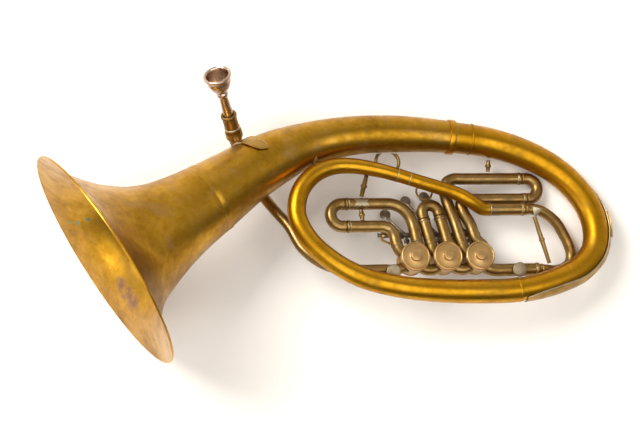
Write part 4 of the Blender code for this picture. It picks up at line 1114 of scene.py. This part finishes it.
def build_flange_discs():
    """Round feet on the front of the main line."""
    for name, u in (("flange_disc_left", 81.7), ("flange_disc_right", 232.0)):
        at = Vector((u, -68.4, VALVE_W + SLEEVE_RADIUS + GAP + 0.4))
        profile = [(0, 1.8), (7.8, 1.8), (8.5, 1.1), (8.5, 0), (0, 0)]
        keep(softened(turned(name, profile, at, (0, -0.25, 0.97), 16), 0.4), "flange_nickel")


def build_horn():
    build_bell()
    build_bows()
    build_bow_guard()
    build_tuning_slide()
    for valve in range(3):
        build_valve(valve)
        build_lever(valve)
        build_link(valve)
        build_spring(valve)
    for valve in range(2):
        build_knuckle(valve)
    build_slide_1()
    build_slide_2()
    build_slide_3()
    build_leadpipe()
    build_receiver()
    build_mouthpiece()
    build_receiver_brace()
    build_rod_and_bridge()
    build_rings()
    build_braces()
    build_flange_discs()


# ---------------------------------------------------------------- camera, floor and light

CAMERA_HEIGHT_DEG, CAMERA_TURN_DEG, CAMERA_AWAY = 73.5, -4.0, 1.7
CAMERA_TILT_DEG = 11.5          # the view was levelled to a horn lying at this tilt, with no roll
FOCAL_IN_WIDTHS = 2.35          # focal length over the picture's width


def build_camera():
    """The camera looks down on the horn, and keeps its place in the horn's own frame."""
    height, turn = math.radians(CAMERA_HEIGHT_DEG), Matrix.Rotation(math.radians(CAMERA_TURN_DEG), 3, "Z")
    right = turn @ Vector((1, 0, 0))
    up = turn @ Vector((0, math.sin(height), math.cos(height)))
    back = turn @ Vector((0, -math.cos(height), math.sin(height)))
    facing = Matrix((right, up, back)).transposed().to_4x4()
    level = Matrix.Rotation(math.radians(CAMERA_TILT_DEG), 4, "Y")
    data = bpy.data.cameras.new("camera")
    data.lens = data.sensor_width * FOCAL_IN_WIDTHS
    camera = new_object("camera", data)
    camera.matrix_world = HORN @ level.inverted() @ Matrix.Translation(back * CAMERA_AWAY) @ facing
    bpy.context.scene.camera = camera


def build_floor():
    mesh = bpy.data.meshes.new("floor")
    half = 6.0
    mesh.from_pydata([(x, y, 0) for x, y in oblong(-half, half, -half, half)], [], [(0, 1, 2, 3)])
    floor = new_object("floor", mesh)
    graph = Graph("pale_floor")
    where = graph.nodes.new("ShaderNodeTexCoord").outputs["Object"]
    graph.plug(graph.shader.inputs["Base Color"],
               graph.tones(graph.noise(where, 3.0), [(0.3, (0.90, 0.86, 0.81)), (0.7, (0.93, 0.89, 0.84))]))
    graph.shader.inputs["Roughness"].default_value = 0.9
    floor.data.materials.append(graph.material)


def build_light(name, place, target, size, power, colour):
    data = bpy.data.lights.new(name, "AREA")
    data.shape = "RECTANGLE"
    data.size, data.size_y = size
    data.energy = power
    data.color = colour
    light = new_object(name, data)
    aim = Vector(target) - Vector(place)
    light.matrix_world = Matrix.Translation(place) @ aim.to_track_quat("-Z", "Y").to_matrix().to_4x4()


DARK_CORNER = (0.5, -0.87, 0.0)   # the way to the dark corner of the room


def build_world():
    """A soft room: bright walls low down, a dimmer ceiling, and one dark corner."""
    world = bpy.data.worlds.new("room")
    bpy.context.scene.world = world
    world.use_nodes = True
    nodes, links = world.node_tree.nodes, world.node_tree.links
    where = nodes.new("ShaderNodeTexCoord")
    split = nodes.new("ShaderNodeSeparateXYZ")
    links.new(where.outputs["Generated"], split.inputs["Vector"])
    ramp = nodes.new("ShaderNodeValToRGB")
    set_stops(ramp.color_ramp, [(0.0, (1.0, 0.95, 0.89)), (0.45, (0.85, 0.80, 0.74)),
                                (0.75, (0.32, 0.30, 0.28)), (1.0, (0.17, 0.16, 0.15))])
    links.new(split.outputs["Z"], ramp.inputs["Fac"])
    towards = nodes.new("ShaderNodeVectorMath")
    towards.operation = "DOT_PRODUCT"
    towards.inputs[1].default_value = DARK_CORNER
    links.new(where.outputs["Generated"], towards.inputs[0])
    shade = nodes.new("ShaderNodeMapRange")
    shade.interpolation_type = "SMOOTHSTEP"
    links.new(towards.outputs["Value"], shade.inputs["Value"])
    shade.inputs["From Min"].default_value = -0.1
    shade.inputs["From Max"].default_value = 0.95
    shade.inputs["To Min"].default_value = 1.05
    shade.inputs["To Max"].default_value = 0.10
    links.new(ramp.outputs["Color"], nodes["Background"].inputs["Color"])
    links.new(shade.outputs["Result"], nodes["Background"].inputs["Strength"])


build_camera()
bpy.context.scene.view_settings.view_transform = "Standard"
build_floor()
build_world()
build_light("window", (-1.5, 1.1, 2.0), (-0.05, 0, 0), (1.4, 1.4), 78.0, (1.0, 0.985, 0.96))
build_light("ceiling", (0.5, -0.7, 2.4), (0.05, 0, 0), (3.0, 2.0), 44.0, (1.0, 0.99, 0.98))
build_light("fill", (-2.0, -0.95, 0.85), (-0.2, -0.05, 0.1), (0.7, 0.7), 13.0, (1.0, 0.97, 0.92))
build_horn()
